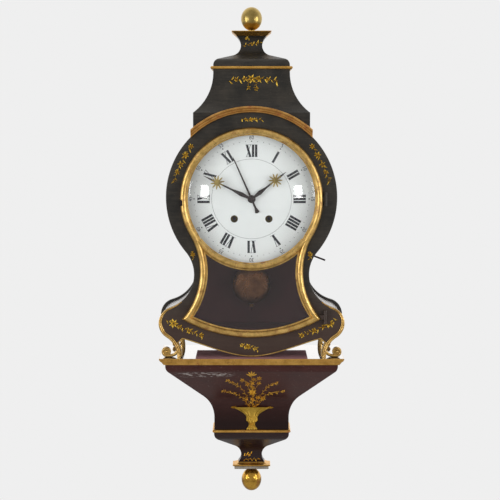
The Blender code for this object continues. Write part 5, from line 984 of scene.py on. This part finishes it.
piece("enamel_dial", shells, white_enamel, "case", ["dial"], sharp=40)

# %% Roman numerals, minute dots and the inner ring
NUMERAL_LOW, NUMERAL_HIGH, MINUTE_CIRCLE = 0.0800, 0.1030, 0.1095
THICK, THIN, SERIF = 0.0045, 0.0010, 0.0003
PAINT_TOP, PAINT_FOOT = 0.00012, -0.00004
LETTER_WIDTHS = {"I": 0.0058, "V": 0.0112, "X": 0.0114}


def slab(outline, angle):
    """A flat convex outline of (along the tangent, outwards) points, turned clockwise to its place."""
    x, z = clock_angle(outline[:, 0], outline[:, 1], angle)
    return grid(np.stack([on_dial(x, z, lift) for lift in (PAINT_TOP, PAINT_FOOT)]))


def stroke(bottom, top, wide, low=NUMERAL_LOW, high=NUMERAL_HIGH):
    """A slanting bar between the foot circle and the head circle of the numerals."""
    half = wide / 2
    return np.array([(bottom - half, low), (bottom + half, low), (top + half, high), (top - half, high)])


def numeral(text):
    """The strokes of a Roman numeral: thick and thin bars with hairline serifs, centred on its middle."""
    total, place, strokes = sum(LETTER_WIDTHS[c] for c in text), 0.0, []
    for c in text:
        middle = place + LETTER_WIDTHS[c] / 2 - total / 2
        place += LETTER_WIDTHS[c]
        if c == "I":
            strokes.append(stroke(middle, middle, THICK))
        elif c == "V":
            strokes += [stroke(middle, middle - 0.0032, THICK), stroke(middle, middle + 0.0038, THIN)]
        else:
            strokes.append(stroke(middle + 0.0032, middle - 0.0032, THICK))
            strokes.append(stroke(middle - 0.0038, middle + 0.0038, THIN))
        for level in (NUMERAL_LOW, NUMERAL_HIGH):
            strokes.append(stroke(middle, middle, LETTER_WIDTHS[c] - 0.0004, level - SERIF, level + SERIF))
    return strokes


hours = ["XII", "I", "II", "III", "IIII", "V", "VI", "VII", "VIII", "IX", "X", "XI"]
marks = [slab(line, 30 * hour) for hour, text in enumerate(hours) for line in numeral(text)]
dot = np.radians(np.linspace(0, 360, 9)[:-1])
for minute in range(60):
    size = 0.0013 if minute % 5 == 0 else 0.0007
    spot = np.stack([size * np.cos(dot), MINUTE_CIRCLE + size * np.sin(dot)], axis=-1)
    marks.append(slab(spot, 6 * minute))
turn = np.radians(np.linspace(0, 360, 181)[:-1])
corners = ((0.07620, PAINT_FOOT), (0.07620, 8e-5), (0.07575, 8e-5), (0.07575, PAINT_FOOT))
ring = [on_dial(r * np.cos(turn), r * np.sin(turn), lift) for r, lift in corners]
marks.append(grid(np.stack(ring), True, True))
print("marks:", len(marks))


# %% Minute figures
def written(text, size):
    """Vertices and faces of a short text, thickened a little, with its middle at the origin."""
    curve = bpy.data.curves.new("figure", "FONT")
    curve.body, curve.size, curve.extrude = text, size, 0.00006
    curve.align_x, curve.align_y = "CENTER", "CENTER"
    curve.resolution_u = 3
    holder = bpy.data.objects.new("figure", curve)
    bpy.context.scene.collection.objects.link(holder)
    mesh = bpy.data.meshes.new_from_object(holder.evaluated_get(bpy.context.evaluated_depsgraph_get()))
    points = np.empty(len(mesh.vertices) * 3)
    mesh.vertices.foreach_get("co", points)
    faces = [list(polygon.vertices) for polygon in mesh.polygons]
    bpy.data.objects.remove(holder)
    bpy.data.curves.remove(curve)
    bpy.data.meshes.remove(mesh)
    return points.reshape(-1, 3), faces


FIGURE_SIZE, FIGURE_NARROWED, FIGURE_CIRCLE = 0.0096, 0.95, 0.1160
for minute in range(5, 61, 5):
    points, faces = written(str(minute), FIGURE_SIZE)
    x, z = clock_angle(points[:, 0] * FIGURE_NARROWED, FIGURE_CIRCLE + points[:, 1], 6 * minute)
    marks.append((on_dial(x, z, 0.00005 + points[:, 2]), faces))
piece("dial_marks", marks, black_enamel, "case")

# %% [markdown]
# ## Hands
# The hands are cut from thin steel, filed to a ridge along the middle, and blued. A gilt star is riveted on
# each of the two main hands. A blade is a surface of two parameters: how far along, and how far across. Its
# height falls from the ridge to the edges, and its width follows a short list.


# %% Blades, stars and bosses
def on_hand(along, outwards, out, angle):
    """A closed grid of a hand's points: out is their distance from the wall."""
    x, z = clock_angle(along, outwards, angle)
    return grid(standing(x, out, DIAL_CENTRE[1] + z))


def blade(start, length, stations, out, angle, thick=0.0011):
    """A ridged blade from the centre outwards; stations are (share of length, half width) pairs."""
    along = np.linspace(0, 1, 61)
    wide = np.interp(along, *zip(*stations))[:, None]
    s = wide * np.array([-1, -1, 0, 1, 1])
    t = (start + (length - start) * along)[:, None] + 0 * s
    return on_hand(s, t, out + thick * np.array([0, 0.45, 1, 0.45, 0]), angle)


def star(reach, out, angle, rays=10, inner=0.0058, outer=0.0140):
    """A rayed star: the rim goes in and out with the angle, and the face slopes from middle to rim."""
    share = np.array([1.0, 1.0, 0.55, 0.25, 0.0])[:, None]
    lift = np.array([0.0, 0.0006, 0.0011, 0.0018, 0.0019])[:, None]
    turn = np.linspace(0, 2 * math.pi, 8 * rays + 1)[:-1]
    wave = np.abs(np.mod(turn * rays / (2 * math.pi), 1) - 0.5) * 2
    rim = inner + (outer - inner) * np.clip(1.5 * wave - 0.35, 0, 1)
    return on_hand(share * rim * np.sin(turn), reach + share * rim * np.cos(turn), out + lift, angle)


def boss(radius, bore, low, high):
    """A rounded ring at the centre of a hand."""
    eased = [(radius, high - 0.0003), (radius - 0.0005, high)]
    line = np.array([(bore, low), (radius, low), *eased, (bore, high)])
    return grid(turned(line, DIAL_CENTRE, 48), True)


# %% Hour, minute and alarm hands, and the nut
MINUTE_ANGLE, HOUR_ANGLE, ALARM_ANGLE = 296, 51.8, 336
HAND_STEP, BOSS_HEIGHT, STAR_LIFT = 0.0025, 0.001, 0.0003
alarm_out = DIAL_RIM_OUT + DIAL_DOME + 0.0018
hour_out, minute_out = alarm_out + HAND_STEP, alarm_out + 2 * HAND_STEP
leafed = [(0, 0.0022), (0.08, 0.0030), (0.18, 0.0042), (0.28, 0.0030), (0.38, 0.0017), (0.62, 0.0014),
          (0.80, 0.0020), (0.88, 0.0014), (1, 0.0003)]
for name, angle, out, root, length, radius, bore, reach in (
    ("minute", MINUTE_ANGLE, minute_out, 0.0042, 0.101, 0.007, 0.0033, 0.072),
    ("hour", HOUR_ANGLE, hour_out, 0.0058, 0.083, 0.0073, 0.0049, 0.0575),
):
    shells = [blade(root, length, leafed, out, angle), boss(radius, bore, out, out + BOSS_HEIGHT)]
    piece(name + "_blade", shells, dark_steel, name + "_set", [name + "_hand"], sharp=25)
    shells = [star(reach, out + STAR_LIFT, angle)]
    piece(name + "_star", shells, star_gilt, name + "_set", sharp=25)
thin = [(0, 0.0019), (0.4, 0.0015), (0.9, 0.0011), (1, 0.0002)]
fish = [(0, 0.0019), (0.50, 0.0019), (0.72, 0.0030), (0.92, 0.0046), (1, 0.0012)]
bore, pipe_radius, pipe_end, pipe_top = 0.0050, 0.0062, 0.1480, alarm_out + 0.0005
pipe = np.array([(bore, pipe_end), (pipe_radius, pipe_end), (pipe_radius, pipe_top), (bore, pipe_top)])
shells = [blade(0.0074, 0.088, thin, alarm_out, ALARM_ANGLE, 0.0008),
          blade(0.0068, 0.029, fish, alarm_out, ALARM_ANGLE - 180, 0.0009),
          boss(0.0077, bore, alarm_out, alarm_out + BOSS_HEIGHT), grid(turned(pipe, DIAL_CENTRE, 32), True)]
piece("alarm_blade", shells, dark_steel, "alarm_set", ["alarm_hand"], sharp=25)
nut = np.array([(0, 0), (0.0045, 0), (0.0045, 0.0012), (0.0042, 0.0018), (0.0030, 0.0030), (0.0018, 0.0035),
                (0, 0.0035)])
nut = turned(nut + (0, minute_out + BOSS_HEIGHT + GAP), DIAL_CENTRE, 32)
piece("centre_nut", [grid(nut, caps=False)], dark_steel, "minute_set", ["hand_nut"])

# %% [markdown]
# ## Cap
# The cap is a hollow box whose front and sides draw in together, with an arch cut out below so that it sits
# on the ring. The lower edge is where the box meets a cylinder. Every column of the surface starts there,
# and levels that would lie below the arch are lifted onto it, so outside, rim and inside are one closed
# grid.

# %% Outline of the cap
UPRIGHT, NECKING, CAP_SHOULDER, MOUTH = 0.468, 0.545, 0.559, 0.6165
CAP_HALF, NECKING_HALF, CAP_NECK, NECK_FLARE, CAP_WALL = 0.1108, 0.0733, 0.0208, 0.0082, 0.008
CAP_SHIFT = CASE_FRONT - CAP_HALF  # the front lies at the half width plus this
CAP_LOW, FIRST_LEVEL = 0.400, 0.42  # both below the arch, so that the first rings are lifted onto it
spread = CAP_HALF - NECKING_HALF
cove_radius = ((NECKING - UPRIGHT) ** 2 + spread**2) / (2 * spread)
z = np.linspace(UPRIGHT, NECKING, 33)
cove = np.stack([NECKING_HALF + cove_radius - np.sqrt(cove_radius**2 - (NECKING - z) ** 2), z], axis=-1)
shoulder = (0, CAP_SHOULDER) + ogee(NECKING_HALF, CAP_NECK, slope=14.7, ear=0.013, sweep=0.020)
rise = MOUTH - shoulder[-1, 1]
neck_radius = (rise**2 + NECK_FLARE**2) / (2 * NECK_FLARE)
z = np.linspace(0, rise, 13)[1:]
neck = np.stack([CAP_NECK + neck_radius - np.sqrt(neck_radius**2 - z**2), shoulder[-1, 1] + z], axis=-1)
cap_line = np.concatenate([[(CAP_HALF, CAP_LOW)], cove, shoulder, neck])
print("cap outline:", len(cap_line), "points")

# %% Cap body
ARCH_RADIUS = RING_RADIUS + 0.0004
share = np.linspace(-1, 1, 61)
edge = np.ones(9)
across = np.concatenate([-edge, share, edge, share[::-1]])
deep = np.concatenate([np.linspace(0, 1, 9), np.ones(61), np.linspace(1, 0, 9), np.zeros(61)])


def hood(levels, wall):
    """Rings of the cap at the given levels, set in by the wall, and lifted onto the arch where below it."""
    x = across * (CAP_HALF - wall)
    arch = RING[1] + np.sqrt(ARCH_RADIUS**2 - x**2)
    level = np.maximum(levels[:, None], arch)
    half = np.interp(level, cap_line[:, 1], cap_line[:, 0]) - wall
    back = CASE_BACK + wall
    return standing(across * half, back + deep * (CAP_SHIFT + half - back), level)


levels = np.concatenate([np.linspace(FIRST_LEVEL, UPRIGHT, 40), cap_line[2:, 1]])
body = np.concatenate([hood(levels[levels <= CAP_SHOULDER][::-1], CAP_WALL), hood(levels, 0.0)])
piece("cap_hood", [grid(body)], black_lacquer, "cap", ["cap_body"], sharp=30)

# %% Arched moulding and its returns along the sides
w, h, RETURN = 0.012, 0.0087, 0.0045
t = np.linspace(0, math.pi, 13)
small = np.stack([0.14 * w - 0.14 * w * np.cos(t), 0.48 * h + 0.24 * h * np.sin(t)], axis=-1)
hollow = np.stack([np.linspace(0.30, 0.58, 7) * w, (0.50 + 0.10 * np.linspace(0, 1, 7) ** 2) * h], axis=-1)
large = np.stack([0.79 * w - 0.21 * w * np.cos(t), 0.62 * h + 0.38 * h * np.sin(t)], axis=-1)
arch_profile = np.concatenate([[(0, 0)], small, hollow, large, [(w, 0)]])
low, near = RING_RADIUS - 0.0015, CAP_HALF + GAP
far = near + RETURN
radii = low + arch_profile[:, 0]
start = np.arccos(far / radii)
turn = start + np.linspace(0, 1, 97)[:, None] * (math.pi - 2 * start)
arch_front = CASE_FRONT + GAP
arch = standing(radii * np.cos(turn), arch_front + arch_profile[:, 1], RING[1] + radii * np.sin(turn))
shells = [grid(arch)]
top = RING[1] + math.sqrt(low**2 - far**2) + w
seat_near, seat_far = (RING[1] + math.sqrt((ARCH_RADIUS + 0.0002) ** 2 - x**2) for x in (near, far))
return_line = np.array([(near, seat_near), (far - 0.0005, seat_far + 0.0002), (far, seat_far + 0.0008),
                        (far, top - 0.001), (far - 0.001, top), (near, top)])
ends = np.array([CASE_BACK, arch_front + 0.004])[:, None]
for side in (-1, 1):
    shells.append(grid(standing(side * return_line[:, 0], ends, return_line[:, 1])))
piece("arch_moulding", shells, arch_gilt, "cap", ["cap_arch_moulding"])

# %% Bead, top plate and ball of the cap
BEAD_HALF, BEAD_BASE, BEAD_OUT, BEAD_RADIUS = 0.0736, 0.551, 0.005, 0.00285
bend = np.radians(np.linspace(-90, 90, 15))
bead_out = BEAD_OUT - BEAD_RADIUS + BEAD_RADIUS * np.cos(bend)
half_round = np.stack([bead_out, BEAD_RADIUS + BEAD_RADIUS * np.sin(bend)], axis=-1)
astragal = np.concatenate([[(0, 0)], half_round, [(0, 2 * BEAD_RADIUS)]])
cap_bead = three_sides(BEAD_HALF, CAP_SHIFT + BEAD_HALF, CASE_BACK, astragal, BEAD_BASE)
piece("cap_bead", [cap_bead], gilt_wood, "cap", ["cap_astragal"])

TOP_PLATE_HALF, TOP_PLATE_HEIGHT = 0.0386, 0.0093
base = MOUTH + GAP
bevel = np.linspace(0, 1, 7)[:, None] * (0.0088, 0.0076) + (0.0291, base)
lip = np.array([(-0.0002, 0.0078), (0, 0.0081), (0, 0.0090), (-0.0003, TOP_PLATE_HEIGHT)])
plate = np.concatenate([bevel, lip + (TOP_PLATE_HALF, base)])
piece("top_plate", [upright_block(plate, CASE_BACK, CAP_SHIFT)], gilt_wood, "cap",
      ["cap_top_plate"])

BALL_RADIUS, BALL_HALF_HEIGHT, BALL_PEG = 0.0207, 0.0230, 0.0016
ball_out = (CAP_SHIFT + TOP_PLATE_HALF + CASE_BACK) / 2
centre = base + TOP_PLATE_HEIGHT + GAP + BALL_PEG + BALL_HALF_HEIGHT
ball = turned(ball_profile(BALL_RADIUS, BALL_HALF_HEIGHT, BALL_PEG, False), (0, ball_out, centre), 64, False)
piece("top_ball", [grid(ball, caps=False)], ball_gilt, "cap", ["cap_ball"])

# %% [markdown]
# ## Pendulum bob and the movement
# The bob is two shallow brass shells, a lens turned about the front-to-back axis. The movement hides behind
# the dial, so its plain solids stay and only take a finish: brass plates and wheels, dark steel arbors, a
# bell.

# %% Bob
BOB_RADIUS, BOB_HALF_DEPTH, BOB_OUT, BOB_HEIGHT = 0.0375, 0.007, 0.060, 0.130
turn = np.linspace(0, math.pi, 33)
bob_line = np.stack([BOB_RADIUS * np.sin(turn), BOB_OUT + BOB_HALF_DEPTH * np.cos(turn)], axis=-1)
bob = turned(bob_line, (0, BOB_HEIGHT), 64)
piece("bob", [grid(bob, caps=False)], bob_brass, "pendulum", ["pendulum_bob"])

# %% Finishes of the plain solids
shown = dict(black_lacquer=black_lacquer, brown_lacquer=brown_lacquer, gilt_wood=gilt_wood,
             gilt_brass=gilt_brass, white_enamel=white_enamel, clear_glass=clear_glass, brass=brass,
             dark_steel=dark_steel, bell_metal=bell_metal, bare_wood=bare_wood)
slots = {part["node"]: part["material_slot"] for part in frame["record"]["subparts"]}
for name, solid in frame["nodes"].items():
    solid.data.materials.clear()
    solid.data.materials.append(shown[slots[name]])
for name in ("hinge_upper_case", "hinge_lower_case", "hinge_upper_door", "hinge_lower_door"):
    frame["nodes"][name].data.materials[0] = front_lacquer
frame["nodes"]["lower_glass"].data.materials[0] = lower_pane
frame["nodes"]["case_bottom"].data.materials[0] = lining_paint
print("finished", len(slots), "solids")

# %% [markdown]
# ## Gold flowers
# The flowers were painted in raised lacquer and dusted with gold, so they stand a little proud of the wood.
# One leaf is enough: a small closed lens, pointed at both ends. Copies of it, turned and stretched as whole
# arrays, become leaves, petals and blooms. They lie on the surface because "out" is looked up from each
# point's height.

# %% Leaves and blooms
RELIEF, LARGE_BLOOM = 0.0007, 0.0045


def leaf_shape(belly):
    """A pointed lens of unit length: its width is the sine of pi times a power of the share along it."""
    along = np.linspace(0, 1, 7)[:, None]
    swell = np.sin(math.pi * along**belly)
    return np.stack(np.broadcast_arrays(along, swell * (-0.5, 0, 0.5, 0), swell * (0, 1, 0, -0.5)), axis=-1)


def scattered(places, angles, lengths, widths, surface, belly=0.8, thick=RELIEF):
    """Copies of the leaf with their roots at the places, in degrees anticlockwise, laid onto a surface."""
    shape, turn = leaf_shape(belly), np.radians(np.asarray(angles, float))[:, None, None]
    places = np.asarray(places, float)
    along = shape[..., 0] * np.asarray(lengths)[:, None, None]
    across = shape[..., 1] * np.asarray(widths)[:, None, None]
    x = places[:, 0, None, None] + along * np.cos(turn) - across * np.sin(turn)
    z = places[:, 1, None, None] + along * np.sin(turn) + across * np.cos(turn)
    points = standing(x, surface(z) + thick * (shape[..., 2] + 0.1), z)
    return [grid(leaf, caps=False) for leaf in points]


def bloom(place, radius, petals, surface, start, fine):
    """Petals round a place, with a smaller ring between them for a large bloom; fine narrows the petals."""
    shells = []
    for share, shift in ((1.0, 0.0), (0.6, 180.0 / petals))[: 2 if radius > LARGE_BLOOM else 1]:
        turn = start + shift + np.arange(petals) * 360 / petals
        heading = np.stack([np.cos(np.radians(turn)), np.sin(np.radians(turn))], axis=-1)
        roots = place + 0.12 * radius * heading
        size = np.full(petals, share * radius * 0.9)
        shells += scattered(roots, turn, size, 0.44 * fine * size, surface, 1.25, RELIEF / share)
    return shells


# %% Stems and garlands
def curve(points, steps=24):
    """A Bezier curve: a smooth line that joins the outer points and leans towards those between."""
    t, degree = np.linspace(0, 1, steps + 1)[:, None], len(points) - 1
    order = np.arange(degree + 1)
    weights = np.array([math.comb(degree, i) for i in order]) * t**order * (1 - t) ** (degree - order)
    return weights @ np.asarray(points, float)


def stem(line, surface, wide):
    """A thin raised line: a diamond section carried along a curve on the surface."""
    section = np.array([(-wide, 0.0), (0.0, 0.0006), (wide, 0.0), (0.0, -0.0004)])
    run = carried(line, section, False)
    return grid(standing(run[..., 0], surface(run[..., 1]) + run[..., 2], run[..., 1]))


def garland(points, blooms, surface, leaves, size, seed, fine=0.76, lean=52):
    """A stem through points in millimetres, with leaves on alternate sides.

    Blooms sit at shares of its length, as (share, radius, petals) each. fine is a factor on the widths of the
    stem, the leaves and the petals.
    """
    rng = np.random.default_rng(seed)
    line = curve(np.asarray(points, float) / 1000)
    at, shares = np.linspace(0.04, 0.97, leaves), np.linspace(0, 1, len(line))
    spots = np.stack([np.interp(at, shares, line[:, i]) for i in (0, 1)], axis=-1)
    step = np.gradient(line, axis=0)
    heading = np.interp(at, shares, np.degrees(np.unwrap(np.arctan2(step[:, 1], step[:, 0]))))
    turns = heading + np.where(np.arange(leaves) % 2, lean, -lean) + rng.uniform(-18, 18, leaves)
    lengths = size * rng.uniform(0.75, 1.15, leaves)
    shells = [stem(line, surface, 0.00045 * fine)]
    shells += scattered(spots, turns, lengths, 0.32 * fine * lengths, surface)
    for share, radius, petals in blooms:
        place = line[int(round(share * (len(line) - 1)))]
        shells += bloom(place, radius, petals, surface, rng.uniform(0, 60), fine)
    return shells


# %% Surfaces under the flowers
def front_face(z):
    """The flat front of the case."""
    return np.full_like(z, CASE_FRONT)


def cap_face(z):
    """The front of the cap at a height."""
    return CAP_SHIFT + np.interp(z, cap_line[:, 1], cap_line[:, 0])


def bracket_face(z):
    """The front of the bracket's panel, or of the pendant below it, at a height."""
    line = np.concatenate([pendant_line[::-1], bracket_line[::-1]])
    return np.interp(z, line[:, 1], line[:, 0])


# %% Flowers on the cap
blooms = [(0.5, 0.0090, 6), (0.36, 0.0062, 5), (0.64, 0.0062, 6), (0.22, 0.005, 5), (0.80, 0.005, 5),
          (0.95, 0.0038, 4)]
sprays = garland([(-45, 527), (-30, 536), (0, 530), (30, 536), (50, 527)], blooms, cap_face, 17, 0.0095, 3)
sprays += garland([(-3, 531), (-8, 524), (-5, 514)], [(0.9, 0.0046, 4)], cap_face, 5, 0.0058, 5)
sprays += garland([(6, 531), (10, 523), (9, 512)], [(0.9, 0.0052, 5)], cap_face, 5, 0.0058, 6)
blooms = [(0.55, 0.0036, 5), (0.85, 0.0030, 4)]
sprays += garland([(-17, 597), (-5, 603), (4, 599), (18, 605)], blooms, cap_face, 9, 0.0056, 7, 1.1)
sprays += garland([(-13, 611), (-8, 614), (-4, 610)], [(0.4, 0.0034, 5)], cap_face, 3, 0.0040, 8, 1.1)
piece("cap_flowers", sprays, flower_gold, "cap")

# %% Flowers on the case
blooms = [(0.5, 0.0046, 6), (0.25, 0.0034, 5), (0.72, 0.0036, 5)]
sprays = garland([(-20, 456), (-8, 453), (6, 457), (20, 454)], blooms, front_face, 9, 0.0055, 11, 1.2)
for side, seed in ((-1, 21), (1, 31)):
    chain = [(side * 113, 407), (side * 128, 385), (side * 140, 362), (side * 148, 336)]
    blooms = [(0.06, 0.0058, 6), (0.30, 0.0072, 6), (0.54, 0.0066, 5), (0.77, 0.0052, 6), (0.96, 0.0038, 5)]
    sprays += garland(chain, blooms, front_face, 13, 0.0078, seed)
    waist = [(side * 111, 205), (side * 113, 198), (side * 111, 190)]
    sprays += garland(waist, [(0.45, 0.0050, 6)], front_face, 5, 0.0050, seed + 1, 1.0)
    corner = [(side * 166, 73), (side * 145, 66), (side * 128, 49), (side * 112, 52), (side * 93, 41)]
    blooms = [(0.20, 0.0092, 7), (0.38, 0.0050, 5), (0.62, 0.0062, 6), (0.80, 0.0038, 4), (0.95, 0.0058, 6)]
    sprays += garland(corner, blooms, front_face, 15, 0.0080, seed + 2)
blooms = [(0.45, 0.0060, 6), (0.12, 0.0042, 5), (0.85, 0.0042, 5)]
sprays += garland([(-23, 26), (-12, 18), (0, 24), (13, 13)], blooms, front_face, 9, 0.0065, 41, 1.1)
piece("case_flowers", sprays, flower_gold, "case")

# %% [markdown]
# ## Urn and bouquet
# The bracket carries a low urn in paler gold with a bouquet of thin stems. The urn is a half relief: at
# each height its width comes from a short list, and across it swells like half a turned vase with shallow
# flutes.

# %% Urn
levels = np.array([112.0, 114, 117, 121, 125, 129.5, 133, 136, 139.2, 142, 144, 148, 151, 154, 157]) / -1000
halves = np.array([40.0, 36, 29, 22.7, 16.5, 12.4, 11.0, 11.4, 11.9, 9, 6.4, 6.3, 7, 9.4, 11.8]) / 1000
URN_X, URN_SWELL, URN_FLUTE, FLUTES, URN_SUNK = 0.0008, 0.0038, 0.0008, 16, -0.0006
z = np.linspace(levels[0], levels[-1], 60)
half = np.interp(-z, -levels, halves)[:, None]
round_angle = np.radians(np.linspace(-90, 90, 41))
swell = np.cos(round_angle) * (URN_SWELL + URN_FLUTE * np.cos(FLUTES * round_angle))
x = np.concatenate([half * np.sin(round_angle), half, -half], axis=1)
lift = np.concatenate([0.0002 + swell, [URN_SUNK, URN_SUNK]])
piece("urn", [grid(standing(x + URN_X, bracket_face(z)[:, None] + lift, z[:, None]))], urn_gold, "bracket")

# %% Bouquet
lobes = np.array([(-0.026, -0.1125), (0.028, -0.1130)])
sprays = scattered(lobes, (180, 0), (0.0155, 0.0155), (0.0046, 0.0046), bracket_face, 1.3, 0.0030)
fan = [0.0115, 0.0118, 0.0116, 0.0118, 0.0115]
sprays += scattered([(0, -0.0375)] * 5, (25, 58, 90, 122, 155), fan, [0.0027] * 5, bracket_face, 1.3)
blooms = [(0.50, 0.0090, 7), (0.66, 0.0052, 5), (0.80, 0.0042, 5)]
sprays += garland([(1, -112), (2, -80), (0, -37)], blooms, bracket_face, 14, 0.0070, 51, 0.75)
arms = [[(-4, -112), (-10, -73), (-22, -59), (-35, -55), (-48, -47)],
        [(-6, -112), (-11, -97), (-24, -80), (-39, -77), (-58, -74)],
        [(7, -112), (18, -82), (25, -67), (36, -57), (51, -54)],
        [(9, -112), (19, -87), (29, -79), (45, -79), (65, -74)]]
blooms = [(0.97, 0.0042, 5), (0.80, 0.0038, 5), (0.62, 0.0040, 4)]
for seed, arm in enumerate(arms, 61):
    sprays += garland(arm, blooms, bracket_face, 14, 0.0058, seed, 0.68)
short = [[(-3, -112), (-12, -100), (-11, -93)], [(5, -112), (18, -104), (23, -93)],
         [(2, -112), (4, -104), (2, -95)], [(4, -112), (10, -100), (12, -90)],
         [(2, -85), (6, -70), (14, -55)], [(0, -80), (-5, -70), (-8, -58)],
         [(0, -60), (-8, -50), (-18, -48)], [(1, -58), (8, -50), (15, -43)], [(1, -56), (3, -50), (5, -46)]]
for seed, arm in enumerate(short, 71):
    sprays += garland(arm, [(1.0, 0.0052, 5 if seed % 2 else 6)], bracket_face, 3, 0.0052, seed, 0.70)
sprays += garland([(-14, -217), (-8, -222), (-1, -219)], [(0.6, 0.0042, 4)], bracket_face, 4, 0.0060, 91, 1.0)
sprays += garland([(-17, -231), (-6, -227), (6, -231), (17, -228)], [], bracket_face, 9, 0.0042, 92, 1.0)
piece("bracket_flowers", sprays, bouquet_gold_painted_light, "bracket")

# %% [markdown]
# ## Studio
# The clock was photographed against a pale wall, lit by large soft lamps at both sides. The lamps show
# twice: as streaks on the gilt balls, and as two small patches in the domed glass. The world is bright
# behind the clock, so that the lacquered sides mirror it, and dim in front, so that the black front stays
# black.

# %% World
WALL_GREY = (0.863, 0.863, 0.863, 1)


def seen_straight(tree):
    """One for rays that come from the camera, either directly or through glass alone."""
    path = node(tree, "LightPath").outputs
    bounces = maths(tree, "ADD", path["Diffuse Depth"], path["Glossy Depth"])
    through = maths(tree, "MULTIPLY", path["Is Transmission Ray"], maths(tree, "LESS_THAN", bounces, 0.5))
    return maths(tree, "MAXIMUM", path["Is Camera Ray"], through)


world = bpy.data.worlds.new("studio")
bpy.context.scene.world = world
world.use_nodes = True
tree = world.node_tree
tree.nodes.clear()
ahead = node(tree, "SeparateXYZ", {0: node(tree, "TexCoord").outputs["Generated"]}).outputs["Y"]
level = ramp(tree, ahead, -0.25, 0.55, 0.54, 1.35)
room = node(tree, "Background", {"Color": (1.0, 0.985, 0.965, 1), "Strength": level}).outputs[0]
wall = node(tree, "Background", {"Color": WALL_GREY, "Strength": 1.0}).outputs[0]
both = node(tree, "MixShader", {0: seen_straight(tree), 1: room, 2: wall}).outputs[0]
tree.links.new(both, node(tree, "OutputWorld").inputs["Surface"])
print("world:", world.name)

# %% Floor
FLOOR_REACH, FLOOR_HEIGHT = 8, -1.25
corners = [(x * FLOOR_REACH, y * FLOOR_REACH, FLOOR_HEIGHT) for x, y in ((-1, -1), (1, -1), (1, 1), (-1, 1))]
floor_mesh = bpy.data.meshes.new("floor")
floor_mesh.from_pydata(corners, [], [(0, 1, 2, 3)])
pale_floor, tree, shader, place = finish("pale_floor", roughness=0.8)
wire(tree, shader, base_color=mixed(tree, noise(tree, place, 3.0), (0.44, 0.44, 0.44), (0.47, 0.47, 0.47)))
pale = node(tree, "Emission", {"Color": WALL_GREY, "Strength": 1.0}).outputs[0]
joined = node(tree, "MixShader", {0: seen_straight(tree), 1: shader.outputs[0], 2: pale}).outputs[0]
tree.links.new(joined, tree.nodes["Material Output"].inputs["Surface"])
floor_mesh.materials.append(pale_floor)
floor = bpy.data.objects.new("floor", floor_mesh)
bpy.context.scene.collection.objects.link(floor)
print("floor at", FLOOR_HEIGHT)


# %% Lamps
def lamp(name, azimuth, distance, height, width, tall, power, aim, clock_out=0.1):
    """A rectangular lamp at an angle to the right of the camera, turned towards a height on the clock."""
    light = bpy.data.lights.new(name, "AREA")
    light.shape, light.size, light.size_y, light.energy = "RECTANGLE", width, tall, power
    made = bpy.data.objects.new(name, light)
    turn = math.radians(azimuth)
    made.location = (distance * math.sin(turn), -clock_out - distance * math.cos(turn), SHELF_TOP + height)
    target = Vector((0, -clock_out, SHELF_TOP + aim))
    made.rotation_euler = (target - made.location).to_track_quat("-Z", "Y").to_euler()
    bpy.context.scene.collection.objects.link(made)


for side, name in ((-1, "left"), (1, "right")):
    lamp("soft_" + name, side * 64, distance=2.2, height=0.45, width=0.5, tall=1.3, power=12.5, aim=0.25)
    lamp("small_" + name, side * 40.5, distance=2.6, height=0.46, width=0.28, tall=0.46, power=5.5, aim=0.30)
bpy.context.scene.view_settings.view_transform = "Standard"
print("lamps:", [light.name for light in bpy.data.lights])
